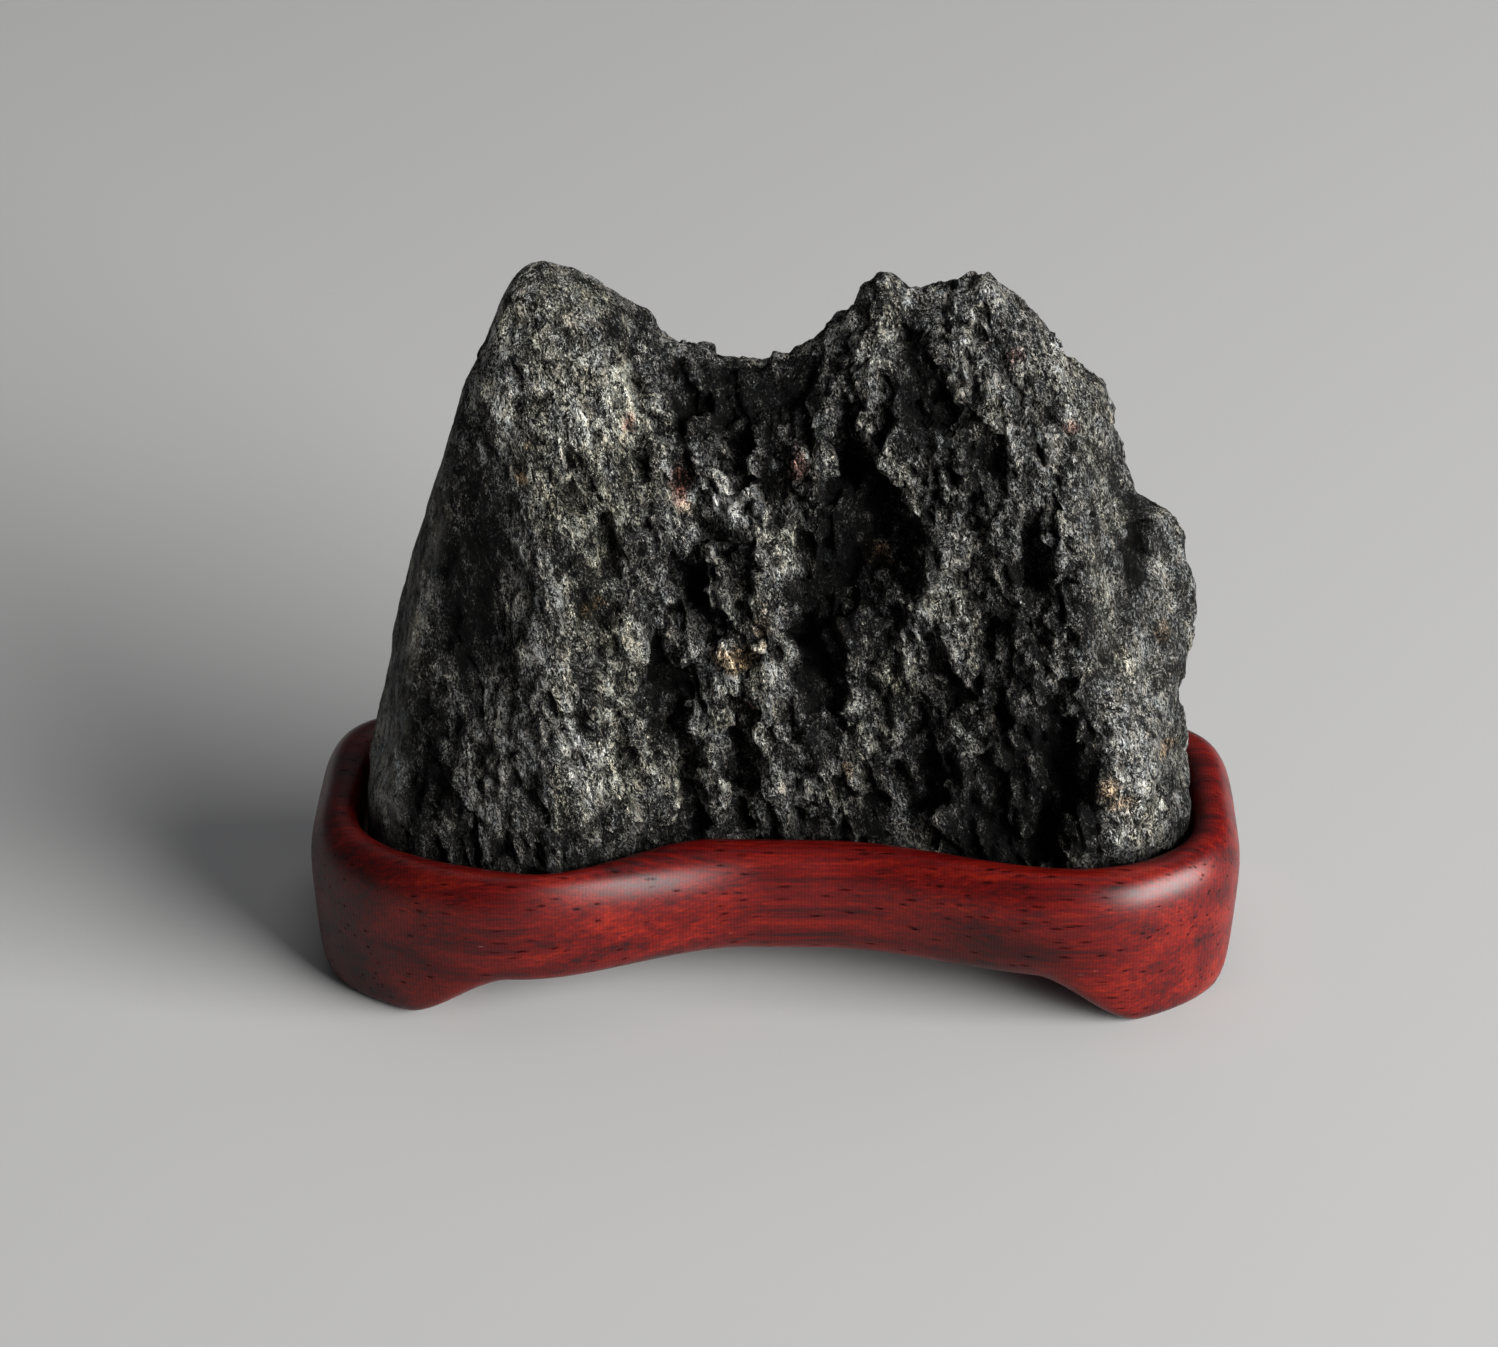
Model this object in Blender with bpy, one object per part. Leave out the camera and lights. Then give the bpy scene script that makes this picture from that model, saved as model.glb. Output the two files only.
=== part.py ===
"""A small scholar's rock: a twin-peaked dark stone standing in its own carved wooden stand.

The stone is one natural piece.  The stand is one block of hardwood: a rounded rim round a
sunk seat that follows the stone's foot, a waist drawn in at the front, and four short feet
left standing under the corners.

Lengths below are millimetres and become metres when a mesh is made.  +X runs along the
stand, -Y is its waisted front and +Z is up.  The origin is on the ground under the middle.
"""

import math
from dataclasses import dataclass

import bmesh
import bpy
import numpy as np
from mathutils import Vector, noise

MM = 0.001
TINY = 1e-9
FRONT, BACK = -1, 1

# The stone's foot, which the seat is carved to follow.
FOOT_HALF_LENGTH = 25.5
FOOT_FRONT_DEPTH = 9.2
FOOT_BACK_DEPTH = 9.4
FOOT_MIDDLE = -0.75
FRONT_SQUARENESS = 2.7
BACK_SQUARENESS = 6.0
WAIST_DEPTH = 5.2
WAIST_LEFT_RAMP = (-14.0, -4.6)
WAIST_RIGHT_RAMP = (3.0, 23.0)
WAIST_EASING = 1.5

# The stand.
SEAT_GAP = 0.35
SEAT_FLOOR = 7.0
RIM_HEIGHT = 10.3
RIM_OUTSET = 1.6
STAND_SEGMENTS = 84
FOOT_ACROSS_RAMP = (15.5, 19.8)
FOOT_ALONG_RAMP = (2.2, 5.6)
CLEARANCE = 3.3
UNDERSIDE_INSET = -0.6
UNDERSIDE_STEPS = (0.0, 0.2, 0.4, 0.52, 0.62, 0.72, 0.81, 0.9)
SEAT_CORNER = 0.1
SEAT_STEPS = (1.0, 0.7, 0.35, 0.0)
RING_MIDDLE = 3.0
OUTLINE_SAMPLES = 4001

# The stone.
STONE_BOTTOM = SEAT_FLOOR + 0.3
STONE_CELLS = (35, 10, 28)
CREST_DROP = 3.0
CREST_SHAPE = 1.9
CREST_THINNING = 0.25
CREST_THINNING_REACH = 8
UPPER_BACK_SQUARENESS = 2.8
BACK_EASING = (0.05, 0.5)
LEFT_EDGE = [
    (7.3, -25.3), (12.5, -25.0), (17.5, -23.9), (23.0, -22.9), (28.5, -21.3),
    (32.5, -20.1), (36.5, -18.8), (40.5, -17.2), (42.5, -16.4),
]
RIGHT_EDGE = [
    (7.3, 25.3), (11.0, 25.6), (13.5, 25.1), (18.5, 24.6), (22.0, 23.9), (26.0, 23.0),
    (30.5, 21.9), (32.5, 21.1), (35.5, 19.9),
]
LUG = [
    (19.0, 0.0), (21.0, 1.0), (23.2, 1.8), (27.0, 2.5), (29.5, 3.0), (30.9, 3.0), (31.7, 0.8),
    (32.3, 0.0),
]
LUG_REACH = 8
SKYLINE = [
    (-16.4, 42.6), (-15.4, 44.4), (-14.0, 45.5), (-12.6, 45.3), (-11.2, 44.6), (-9.6, 43.5),
    (-8.0, 42.5), (-6.6, 40.9), (-4.0, 40.0), (-1.8, 39.5), (1.2, 40.0), (2.4, 40.8),
    (4.2, 43.4), (6.0, 45.3), (7.8, 44.6), (10.0, 45.0), (12.2, 45.6), (13.2, 45.0),
    (14.4, 43.7), (16.2, 41.5), (17.8, 39.9), (18.9, 38.9), (19.8, 36.5),
]
FRONT_REACH = [(7.3, 1.0), (20.5, 0.9), (30.5, 0.74), (38.5, 0.58), (46.5, 0.42)]
BACK_REACH = [(7.3, 1.0), (12.0, 0.93), (20.0, 0.86), (30.0, 0.72), (38.5, 0.58), (46.5, 0.44)]
LEAN = [(7.3, -0.75), (25.5, -0.35), (46.5, 0.85)]
WAIST_RISE = [(7.3, 1.0), (18.5, 0.8), (30.5, 0.55), (46.5, 0.35)]

# The stone's natural lumps, which are low on its smooth left end and along its crest.
LUMP_HEIGHT = 0.55
LUMP_SIZE = (4.0, 4.0, 7.0)
LUMP_ROUGHNESS = 0.6
LUMP_DETAIL = 3
SMOOTH_END = (15.0, 18.0)
SMOOTH_END_SHARE = 0.3
CREST_CALM = (35.0, 41.0)
CREST_SHARE = 0.2

# What stands out fades away above the rim, and everything fades at the stone's foot.
RIM_FADE = (RIM_HEIGHT - 0.5, RIM_HEIGHT + 2.5)
FACET_FADE = (RIM_HEIGHT, RIM_HEIGHT + 5.0)
FOOT_FADE = (STONE_BOTTOM, STONE_BOTTOM + 1.5)


@dataclass(frozen=True)
class Facet:
    """A flat break in the stone: what stands past its plane is taken down towards it."""

    name: str
    point: tuple
    normal: tuple
    share: float = 0.85


FACETS = [
    Facet("dark left face", (-15.0, -6.7, 25.0), (-0.54, -0.81, 0.22)),
    Facet("left back bevel", (-21.9, -1.2, 25.0), (-0.93, -0.30, 0.20)),
    Facet("smooth right face", (17.0, -6.3, 25.0), (0.60, -0.76, 0.22), 0.7),
    Facet("upper back slope", (2.0, 6.9, 33.0), (0.0, 0.90, 0.42)),
    Facet("left back break", (-16.0, 6.2, 24.0), (-0.55, 0.81, 0.18)),
    Facet("right back break", (16.5, 6.4, 22.0), (0.62, 0.76, 0.12)),
]


@dataclass(frozen=True)
class Stroke:
    """A groove (height below 0) or a rib (above 0) along (x, z) points on one broad side."""

    name: str
    path: tuple
    half_width: float
    height: float
    side: int = FRONT

    def lift(self, x, z):
        """How far the stroke moves the surface at x and z."""
        near = min(distance_to_line(x, z, *pair) for pair in zip(self.path, self.path[1:]))
        part = near / self.half_width
        return self.height * (1 - part * part) ** 2 if part < 1 else 0.0


STROKES = [
    Stroke("hollow top", ((3.6, 38.3), (4.1, 35.4), (4.6, 33.4)), 1.3, -1.1),
    Stroke("great hollow", ((5.1, 33.7), (6.4, 32.0), (6.2, 29.8), (4.7, 27.0)), 2.3, -2.3),
    Stroke("saddle crack", ((-6.2, 38.6), (-5.1, 37.8), (-3.3, 36.8), (-2.0, 33.4)), 1.4, -1.0),
    Stroke("middle crack", ((1.8, 29.9), (2.2, 26.2), (2.0, 23.3), (3.4, 18.6)), 1.4, -1.6),
    Stroke("left groove", ((-3.6, 31.5), (-5.4, 28.0), (-4.3, 24.5), (-4.0, 22.8)), 1.1, -1.3),
    Stroke("lower left groove", ((-6.2, 24.2), (-6.1, 19.6), (-5.2, 15.2)), 1.3, -1.2),
    Stroke("foot crack", ((-2.3, 19.2), (-2.1, 14.0), (-2.1, 10.2)), 1.1, -1.5),
    Stroke("buttress crack", ((-10.0, 31.5), (-9.7, 27.4), (-10.0, 24.0)), 1.0, -0.9),
    Stroke("buttress notch", ((-12.1, 35.2), (-11.4, 32.7)), 1.0, -0.6),
    Stroke("right flank crack", ((15.3, 30.0), (14.9, 27.9), (15.4, 26.0)), 1.1, -1.0),
    Stroke("deep right hollow", ((17.4, 19.8), (17.4, 15.5), (16.2, 10.6)), 1.7, -2.0),
    Stroke("right foot groove", ((9.4, 16.6), (9.1, 10.4)), 1.1, -0.8),
    Stroke("upper right pit", ((12.4, 35.0), (12.8, 34.8)), 1.4, -1.2),
    Stroke("right pit", ((11.7, 31.8), (11.7, 31.0)), 1.3, -1.2),
    Stroke("peak notch", ((8.0, 41.8), (8.6, 40.6), (9.9, 38.8)), 1.1, -1.0),
    Stroke("right slant", ((9.4, 24.0), (11.0, 20.6), (13.4, 19.4)), 1.1, -0.8),
    Stroke("lug crack", ((22.6, 30.2), (22.6, 28.0), (22.2, 25.8)), 0.9, -1.2),
    Stroke("lug undercut", ((23.2, 24.2), (24.8, 22.4)), 1.1, -0.7),
    Stroke("left arris", ((-15.8, 38.9), (-13.6, 32.0), (-12.9, 24.8), (-12.8, 11.0)), 1.8, 0.6),
    Stroke("middle rib", ((-0.9, 31.1), (-1.2, 26.1), (-0.5, 19.5), (0.2, 12.6)), 1.4, 0.8),
    Stroke("peak rib", ((5.4, 41.6), (6.6, 38.7), (7.0, 36.0)), 1.5, 0.9),
    Stroke("saddle rib", ((2.1, 37.5), (2.0, 33.0)), 1.1, 0.7),
    Stroke("hollow lip", ((8.6, 32.2), (9.4, 29.6), (8.6, 24.6)), 1.3, 0.9),
    Stroke("right knob", ((11.1, 25.6), (11.5, 23.6)), 1.2, 0.7),
    Stroke("right arris", ((17.4, 31.7), (18.1, 26.9), (19.2, 21.4)), 1.6, 0.6),
    Stroke("right boulder", ((21.0, 17.5), (21.6, 13.8), (21.0, 11.4)), 3.2, 1.3),
    Stroke("back rib", ((-7.0, 41.0), (-5.0, 30.0), (-7.5, 18.0), (-6.0, 11.0)), 3.4, 1.0, BACK),
    Stroke("back right rib", ((9.0, 40.0), (11.5, 27.0), (9.0, 15.0)), 3.2, 0.9, BACK),
    Stroke("back trough", ((0.0, 38.0), (2.6, 28.0), (1.0, 16.0)), 2.6, -1.5, BACK),
    Stroke("back ledge", ((-20.0, 20.0), (-13.0, 22.5), (-10.5, 26.5)), 1.6, -1.1, BACK),
    Stroke("back hollow", ((14.5, 31.0), (16.5, 24.5)), 2.0, -1.4, BACK),
    Stroke("back foot crack", ((5.0, 18.0), (4.2, 11.0)), 1.3, -1.1, BACK),
    Stroke("back shoulder crack", ((-14.0, 39.5), (-12.4, 33.0)), 1.3, -0.9, BACK),
    Stroke("back slant", ((15.0, 20.5), (20.5, 15.5)), 1.4, -0.9, BACK),
]


def distance_to_line(x, z, start, end):
    """Distance from a point to the line between two points."""
    along_x, along_z = end[0] - start[0], end[1] - start[1]
    part = ((x - start[0]) * along_x + (z - start[1]) * along_z) / (along_x**2 + along_z**2)
    part = min(1.0, max(0.0, part))
    return math.hypot(x - start[0] - part * along_x, z - start[1] - part * along_z)


def smooth_step(value, start, end):
    """Ease from 0 at start to 1 at end."""
    part = min(1.0, max(0.0, (value - start) / (end - start)))
    return part * part * (3.0 - 2.0 * part)


def blend(start, end, part):
    """The value part of the way from start to end."""
    return start + (end - start) * part


def through(points, at):
    """Read the smooth curve through (position, value) points."""
    at = min(points[-1][0], max(points[0][0], at))
    index = 0
    while index < len(points) - 2 and at > points[index + 1][0]:
        index += 1
    before, (p0, v0) = points[max(index - 1, 0)], points[index]
    (p1, v1), after = points[index + 1], points[min(index + 2, len(points) - 1)]
    slope0 = (v1 - before[1]) / (p1 - before[0])
    slope1 = (after[1] - v0) / (after[0] - p0)
    span = p1 - p0
    t = (at - p0) / span
    return (
        v0 * (1 + 2 * t) * (1 - t) ** 2 + v1 * t * t * (3 - 2 * t)
        + span * (slope0 * t * (1 - t) ** 2 - slope1 * t * t * (1 - t))
    )


def waist(x, outset=0.0):
    """How far the front is drawn in at x; the draw eases out as the outline moves outwards."""
    start, end = WAIST_LEFT_RAMP
    ease = WAIST_EASING * outset
    left = smooth_step(x, start - ease, end + ease)
    return WAIST_DEPTH * left * (1 - smooth_step(x, *WAIST_RIGHT_RAMP))


def outline(angle, outset):
    """Point on the outline of the stone's foot, moved out by outset."""
    along, across = math.cos(angle), math.sin(angle)
    power = FRONT_SQUARENESS if across < 0 else BACK_SQUARENESS
    depth = FOOT_FRONT_DEPTH if across < 0 else FOOT_BACK_DEPTH
    reach = (abs(along) ** power + abs(across) ** power) ** (-1 / power)
    x = (FOOT_HALF_LENGTH + outset) * along * reach
    y = (depth + outset) * across * reach
    if across < 0:
        y += waist(x, outset) * -y / (depth + outset)
    return x, y + FOOT_MIDDLE


def even_angles(count):
    """Angles whose points are evenly spaced along the outline."""
    fine = np.linspace(0.0, 2 * math.pi, OUTLINE_SAMPLES)
    points = np.array([outline(angle, RIM_OUTSET) for angle in fine])
    walked = np.concatenate([[0.0], np.cumsum(np.linalg.norm(np.diff(points, axis=0), axis=1))])
    return np.interp(np.linspace(0.0, walked[-1], count + 1)[:-1], walked, fine)


def foot_share(x, y):
    """1 over a foot, 0 between the feet."""
    return smooth_step(abs(x), *FOOT_ACROSS_RAMP) * smooth_step(abs(y), *FOOT_ALONG_RAMP)


@dataclass(frozen=True)
class Ring:
    """One ring of the stand: its outset from the stone's foot and its height.

    The first pair holds between the feet and the second at a foot.  Rings inside the
    underside or the seat are shrunk towards the middle by scale.
    """

    outset: float
    height: float
    foot_outset: float
    foot_height: float
    scale: float = 1.0


def stand_rings():
    """The stand's rings, from the middle of the underside out, up, over the rim and in."""
    under = [
        Ring(UNDERSIDE_INSET, CLEARANCE, UNDERSIDE_INSET, 0.0, scale) for scale in UNDERSIDE_STEPS
    ]
    wall = [
        Ring(UNDERSIDE_INSET, CLEARANCE, -0.4, 0.0),
        Ring(0.6, CLEARANCE, 1.2, 0.0),
        Ring(1.5, 3.2, 2.1, 0.2),
        Ring(2.3, 3.4, 2.7, 0.9),
        Ring(2.85, 4.2, 3.0, 2.3),
        Ring(3.15, 5.6, 3.2, 4.5),
        Ring(3.25, 7.2, 3.25, 6.9),
        Ring(3.05, 8.6, 3.05, 8.6),
        Ring(2.45, 9.8, 2.45, 9.8),
        Ring(RIM_OUTSET, RIM_HEIGHT, RIM_OUTSET, RIM_HEIGHT),
        Ring(0.9, 10.1, 0.9, 10.1),
        Ring(0.45, 9.4, 0.45, 9.4),
        Ring(SEAT_GAP, 8.0, SEAT_GAP, 8.0),
    ]
    seat = [Ring(SEAT_CORNER, SEAT_FLOOR, SEAT_CORNER, SEAT_FLOOR, scale) for scale in SEAT_STEPS]
    return under + wall + seat


def ring_point(ring, angle):
    """Where the stand's surface crosses one ring at one angle."""
    x, y = outline(angle, ring.outset)
    share = foot_share(x * ring.scale, blend(RING_MIDDLE, y, ring.scale))
    if ring.foot_outset != ring.outset:
        x, y = outline(angle, blend(ring.outset, ring.foot_outset, share))
    height = blend(ring.height, ring.foot_height, share)
    return Vector((x * ring.scale, blend(RING_MIDDLE, y, ring.scale), height))


def make_stand():
    """The stand: a sphere's rings of points laid onto the stand's rings."""
    rings = stand_rings()
    angles = even_angles(STAND_SEGMENTS)
    last = len(rings) - 1
    shape = bmesh.new()
    bmesh.ops.create_uvsphere(shape, u_segments=STAND_SEGMENTS, v_segments=last, radius=1.0)
    for vert in shape.verts:
        latitude = math.asin(max(-1.0, min(1.0, vert.co.z)))
        level = round((0.5 + latitude / math.pi) * last)
        turn = round(math.atan2(vert.co.y, vert.co.x) / (2 * math.pi) * STAND_SEGMENTS)
        vert.co = ring_point(rings[level], angles[turn % STAND_SEGMENTS])
    return shape


def unit_block(cells):
    """A block from -1 to 1 across and deep and from 0 to 1 high, in even cells."""
    shape = bmesh.new()
    bmesh.ops.create_cube(shape, size=2.0)
    for axis, count in enumerate(cells):
        along = [
            edge for edge in shape.edges if edge.verts[0].co[axis] * edge.verts[1].co[axis] < 0
        ]
        bmesh.ops.subdivide_edges(shape, edges=along, cuts=count - 1, use_grid_fill=True)
    for vert in shape.verts:
        vert.co.z = 0.5 * (vert.co.z + 1)
    return shape


def stone_point(block):
    """Lay a point of the unit block onto the stone before its relief is cut."""
    a, b, c = block
    if b < 0:
        power = FRONT_SQUARENESS
    else:
        power = blend(BACK_SQUARENESS, UPPER_BACK_SQUARENESS, smooth_step(c, *BACK_EASING))
    section = (abs(a) ** power + abs(b) ** power) ** (1 / power)
    rounding = max(abs(a), abs(b)) / max(TINY, section)
    a, b = a * rounding, b * rounding
    crest_x = blend(SKYLINE[0][0], SKYLINE[-1][0], 0.5 * (a + 1))
    crest = through(SKYLINE, crest_x) - CREST_DROP * abs(b) ** CREST_SHAPE
    z = blend(STONE_BOTTOM, crest, c)
    x = blend(through(LEFT_EDGE, z), through(RIGHT_EDGE, z), 0.5 * (a + 1))
    x += through(LUG, z) * max(0.0, a) ** LUG_REACH
    b *= 1 - CREST_THINNING * c**CREST_THINNING_REACH
    if b < 0:
        y = b * (FOOT_FRONT_DEPTH * through(FRONT_REACH, z) - waist(x) * through(WAIST_RISE, z))
    else:
        y = b * FOOT_BACK_DEPTH * through(BACK_REACH, z)
    return Vector((x, y + through(LEAN, z), z))


def cut_facets(place):
    """Take a point down towards the stone's flat breaks."""
    fade = smooth_step(place.z, *FACET_FADE)
    for facet in FACETS:
        normal = Vector(facet.normal).normalized()
        past = (place - Vector(facet.point)).dot(normal)
        if past > 0:
            place = place - normal * past * facet.share * fade
    return place


def lumps(place):
    """Height of the stone's natural lumps at a point."""
    end = blend(1.0, SMOOTH_END_SHARE, smooth_step(-place.x, *SMOOTH_END))
    crest = blend(1.0, CREST_SHARE, smooth_step(place.z, *CREST_CALM))
    spot = Vector([value / size for value, size in zip(place, LUMP_SIZE)])
    return LUMP_HEIGHT * end * crest * noise.fractal(spot, LUMP_ROUGHNESS, 2.0, LUMP_DETAIL)


def relief(place, normal):
    """How far the stone's ribs, grooves and lumps move the surface along its normal."""
    side = FRONT if normal.y < 0 else BACK
    strokes = sum(stroke.lift(place.x, place.z) for stroke in STROKES if stroke.side == side)
    lift = strokes * abs(normal.y) + lumps(place)
    if lift > 0:
        lift *= smooth_step(place.z, *RIM_FADE)
    return lift * smooth_step(place.z, *FOOT_FADE)


def make_stone():
    """The stone: a block laid onto its outlines and then cut with its relief."""
    shape = unit_block(STONE_CELLS)
    for vert in shape.verts:
        vert.co = cut_facets(stone_point(vert.co))
    shape.normal_update()
    lifts = [(vert, vert.normal.copy(), relief(vert.co, vert.normal)) for vert in shape.verts]
    for vert, normal, lift in lifts:
        vert.co += normal * lift
    return shape


def add_material(thing, name, colour, roughness):
    """Give an object its own plain material."""
    material = bpy.data.materials.new(name)
    material.use_nodes = True
    shader = material.node_tree.nodes["Principled BSDF"]
    shader.inputs["Base Color"].default_value = (*colour, 1.0)
    shader.inputs["Roughness"].default_value = roughness
    shader.inputs["Metallic"].default_value = 0.0
    thing.data.materials.append(material)


def add_piece(name, shape, collection):
    """Turn a shape in millimetres into a named object in metres."""
    bmesh.ops.scale(shape, vec=(MM, MM, MM), verts=shape.verts)
    bmesh.ops.recalc_face_normals(shape, faces=shape.faces)
    mesh = bpy.data.meshes.new(name)
    shape.to_mesh(mesh)
    shape.free()
    mesh.shade_smooth()
    thing = bpy.data.objects.new(name, mesh)
    collection.objects.link(thing)
    return thing


def main():
    """Clear the scene and model the stone and its stand."""
    for thing in list(bpy.data.objects):
        bpy.data.objects.remove(thing, do_unlink=True)
    collection = bpy.data.collections.new("Scholars rock")
    bpy.context.scene.collection.children.link(collection)
    stone = add_piece("stone", make_stone(), collection)
    add_material(stone, "Dark stone", (0.035, 0.037, 0.037), 0.62)
    stand = add_piece("stand", make_stand(), collection)
    add_material(stand, "Red hardwood", (0.20, 0.022, 0.016), 0.38)


main()
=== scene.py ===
"""A small scholar's rock with twin peaks, standing in the sunk seat of its carved wooden stand.

Lengths in the classes below are millimetres and become metres when a mesh is made.  +X runs
along the stand, -Y is its drawn-in front and +Z is up.
"""

import logging
import math
from dataclasses import astuple, dataclass, field, replace
from enum import Enum
from typing import Sequence

import bmesh
import bpy
import numpy as np
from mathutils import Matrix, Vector, noise


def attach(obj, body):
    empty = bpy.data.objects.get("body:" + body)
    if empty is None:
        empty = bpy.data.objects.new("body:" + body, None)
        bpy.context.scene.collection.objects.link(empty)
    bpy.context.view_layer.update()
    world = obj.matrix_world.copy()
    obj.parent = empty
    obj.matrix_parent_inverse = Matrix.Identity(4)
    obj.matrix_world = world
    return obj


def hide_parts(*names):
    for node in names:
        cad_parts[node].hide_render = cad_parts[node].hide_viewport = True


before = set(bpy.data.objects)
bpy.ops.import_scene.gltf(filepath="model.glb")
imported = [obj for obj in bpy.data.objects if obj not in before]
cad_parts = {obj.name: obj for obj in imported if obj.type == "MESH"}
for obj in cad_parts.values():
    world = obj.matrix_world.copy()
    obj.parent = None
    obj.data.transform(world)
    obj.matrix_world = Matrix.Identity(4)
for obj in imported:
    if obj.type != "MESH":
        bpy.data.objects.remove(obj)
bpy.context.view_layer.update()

MM = 0.001
TINY = 1e-9
FAR = 1e9
# How much finer each layer of a noise is than the one before.
LACUNARITY = 2.0
# Moves a pattern's places, so that a second reading of it differs from the first.
SHIFT = 17.3
BLACK, WHITE = (0.0, 0.0, 0.0), (1.0, 1.0, 1.0)
Point = tuple[float, float]
Points = tuple[Point, ...]
Triple = tuple[float, float, float]
Colour = Triple
# Where a reading starts and ends, and the values it is stretched to there.
Spread = tuple[float, float, float, float]
FALLING: Spread = (0, 1, 1, 0)
Array = np.ndarray
Socket = bpy.types.NodeSocket
Value = Socket | float | Triple
MIDDLE = (0.5, 0.5, 0.5)

log = logging.getLogger("scholars_rock")


class Side(Enum):
    """The broad side of the stone that a mark lies on."""

    FRONT = "front"
    BACK = "back"


class CellValue(Enum):
    """What a pattern of cells gives."""

    DISTANCE = "Distance"
    COLOUR = "Color"


def smooth_step(value: Array, start: float, end: float) -> Array:
    """Ease from 0 at start to 1 at end."""
    part = np.clip((np.asarray(value, float) - start) / (end - start), 0.0, 1.0)
    return part * part * (3.0 - 2.0 * part)


def blend(start: Array, end: Array, part: Array) -> Array:
    """The value part of the way from start to end."""
    return start + (end - start) * part


def through(points: Sequence[Point], at: Array) -> Array:
    """Read the smooth curve through (position, value) points.

    Args:
        points: The curve's points, in order of position.
        at: Positions to read, held to the curve's ends.

    Returns:
        The curve's value at each position.
    """
    spots, values = np.array(points, float).T
    count = len(spots)
    low, high = np.maximum(np.arange(count) - 1, 0), np.minimum(np.arange(count) + 1, count - 1)
    slopes = (values[high] - values[low]) / (spots[high] - spots[low])
    at = np.clip(np.asarray(at, float), spots[0], spots[-1])
    index = np.clip(np.searchsorted(spots, at, side="right") - 1, 0, count - 2)
    span = spots[index + 1] - spots[index]
    t = (at - spots[index]) / span
    return (
        values[index] * (1 + 2 * t) * (1 - t) ** 2
        + values[index + 1] * t * t * (3 - 2 * t)
        + span * (slopes[index] * t * (1 - t) ** 2 - slopes[index + 1] * t * t * (1 - t))
    )


def in_cells(places: Array, size: Triple, lean: float) -> Array:
    """Places in the measure of a pattern's size, leant to the left with height.

    Args:
        places: One row for each place.
        size: The size of the pattern's cells.
        lean: How far the cells lean for each millimetre of height.

    Returns:
        The places to read the pattern at.
    """
    spots = places.copy()
    spots[:, 0] += lean * places[:, 2]
    return spots / np.array(size)


def add_up(layers: dict[str, Array], base: float = 0.0, **shares: float) -> Array:
    """A base and a share of each layer that is named, added up in their order."""
    return sum((share * layers[name] for name, share in shares.items()), start=base)


def held(values: Array) -> Array:
    """Values held between 0 and 1."""
    return np.clip(values, 0.0, 1.0)


@dataclass(frozen=True)
class Ease:
    """A smooth change from low to high between two positions."""

    start: float
    end: float
    low: float = 0.0
    high: float = 1.0

    def at(self, value: Array) -> Array:
        """The height of the change at each position."""
        return blend(self.low, self.high, smooth_step(value, self.start, self.end))


@dataclass(frozen=True)
class Lumps:
    """Smooth random lumps: their size, how fast finer layers fade, how many there are, a lean."""

    size: Triple
    roughness: float
    detail: int
    lean: float = 0.0

    def at(self, places: Array) -> Array:
        """The lumps' height at each place.

        Args:
            places: Points in millimetres, one to a row.

        Returns:
            One height for each place, mostly between -1 and 1.
        """
        spots = in_cells(places, self.size, self.lean).tolist()
        return np.array(
            [noise.fractal(spot, self.roughness, LACUNARITY, self.detail) for spot in spots]
        )


@dataclass(frozen=True)
class Chips:
    """Flat chips that a broken surface is made of, each with its own tilt."""

    size: Triple
    tilt: float
    crack_depth: float
    crack_width: float = 0.09
    lean: float = 0.2

    def lift(self, places: Array) -> Array:
        """How far each place stands out or in.

        Args:
            places: Points in millimetres, one to a row.

        Returns:
            The lift at each place.
        """
        spots = in_cells(places, self.size, self.lean)
        found = [noise.voronoi(spot) for spot in spots.tolist()]
        first = np.array([points[0][:] for _, points in found])
        gaps = np.array([distances[1] - distances[0] for distances, _ in found])
        tilts = 2 * np.array([noise.cell_vector(point) for point in first + SHIFT]) - 1
        slope = np.sum(tilts * (spots - first), axis=1) * self.tilt * self.size[0]
        return slope - self.crack_depth * np.exp(-gaps / self.crack_width)


@dataclass(frozen=True)
class Foot:
    """The kidney outline of the stone's foot, which the seat and the rim follow."""

    half_length: float = 25.5
    front_depth: float = 9.2
    back_depth: float = 9.4
    middle: float = -0.75
    front_squareness: float = 2.7
    back_squareness: float = 6
    waist_depth: float = 5.2
    waist_left: Point = (-14, -4.6)
    waist_right: Point = (3, 23)
    waist_easing: float = 1.5

    def waist(self, x: Array, outset: float = 0.0) -> Array:
        """How far the front is drawn in at x, easing out as the outline moves outwards.

        Args:
            x: Places along the stand.
            outset: How far the outline stands out from the foot.

        Returns:
            The draw at each place.
        """
        ease = self.waist_easing * outset
        left = smooth_step(x, self.waist_left[0] - ease, self.waist_left[1] + ease)
        return self.waist_depth * left * (1 - smooth_step(x, *self.waist_right))

    def outline(self, angle: Array, outset: Array) -> tuple[Array, Array]:
        """Points on the outline, moved out by outset.

        Args:
            angle: Directions from the middle, in radians.
            outset: How far each point stands out from the foot.

        Returns:
            The points' x and y.
        """
        along, across = np.cos(angle), np.sin(angle)
        front = across < 0
        power = np.where(front, self.front_squareness, self.back_squareness)
        depth = np.where(front, self.front_depth, self.back_depth) + outset
        reach = (np.abs(along) ** power + np.abs(across) ** power) ** (-1 / power)
        x = (self.half_length + outset) * along * reach
        y = depth * across * reach
        y = np.where(front, y - self.waist(x, outset) * y / depth, y)
        return x, y + self.middle


@dataclass(frozen=True)
class Facet:
    """A flat break in the stone: what stands past its plane is taken down towards it."""

    name: str
    point: Triple
    normal: Triple
    share: float = 0.85


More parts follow.
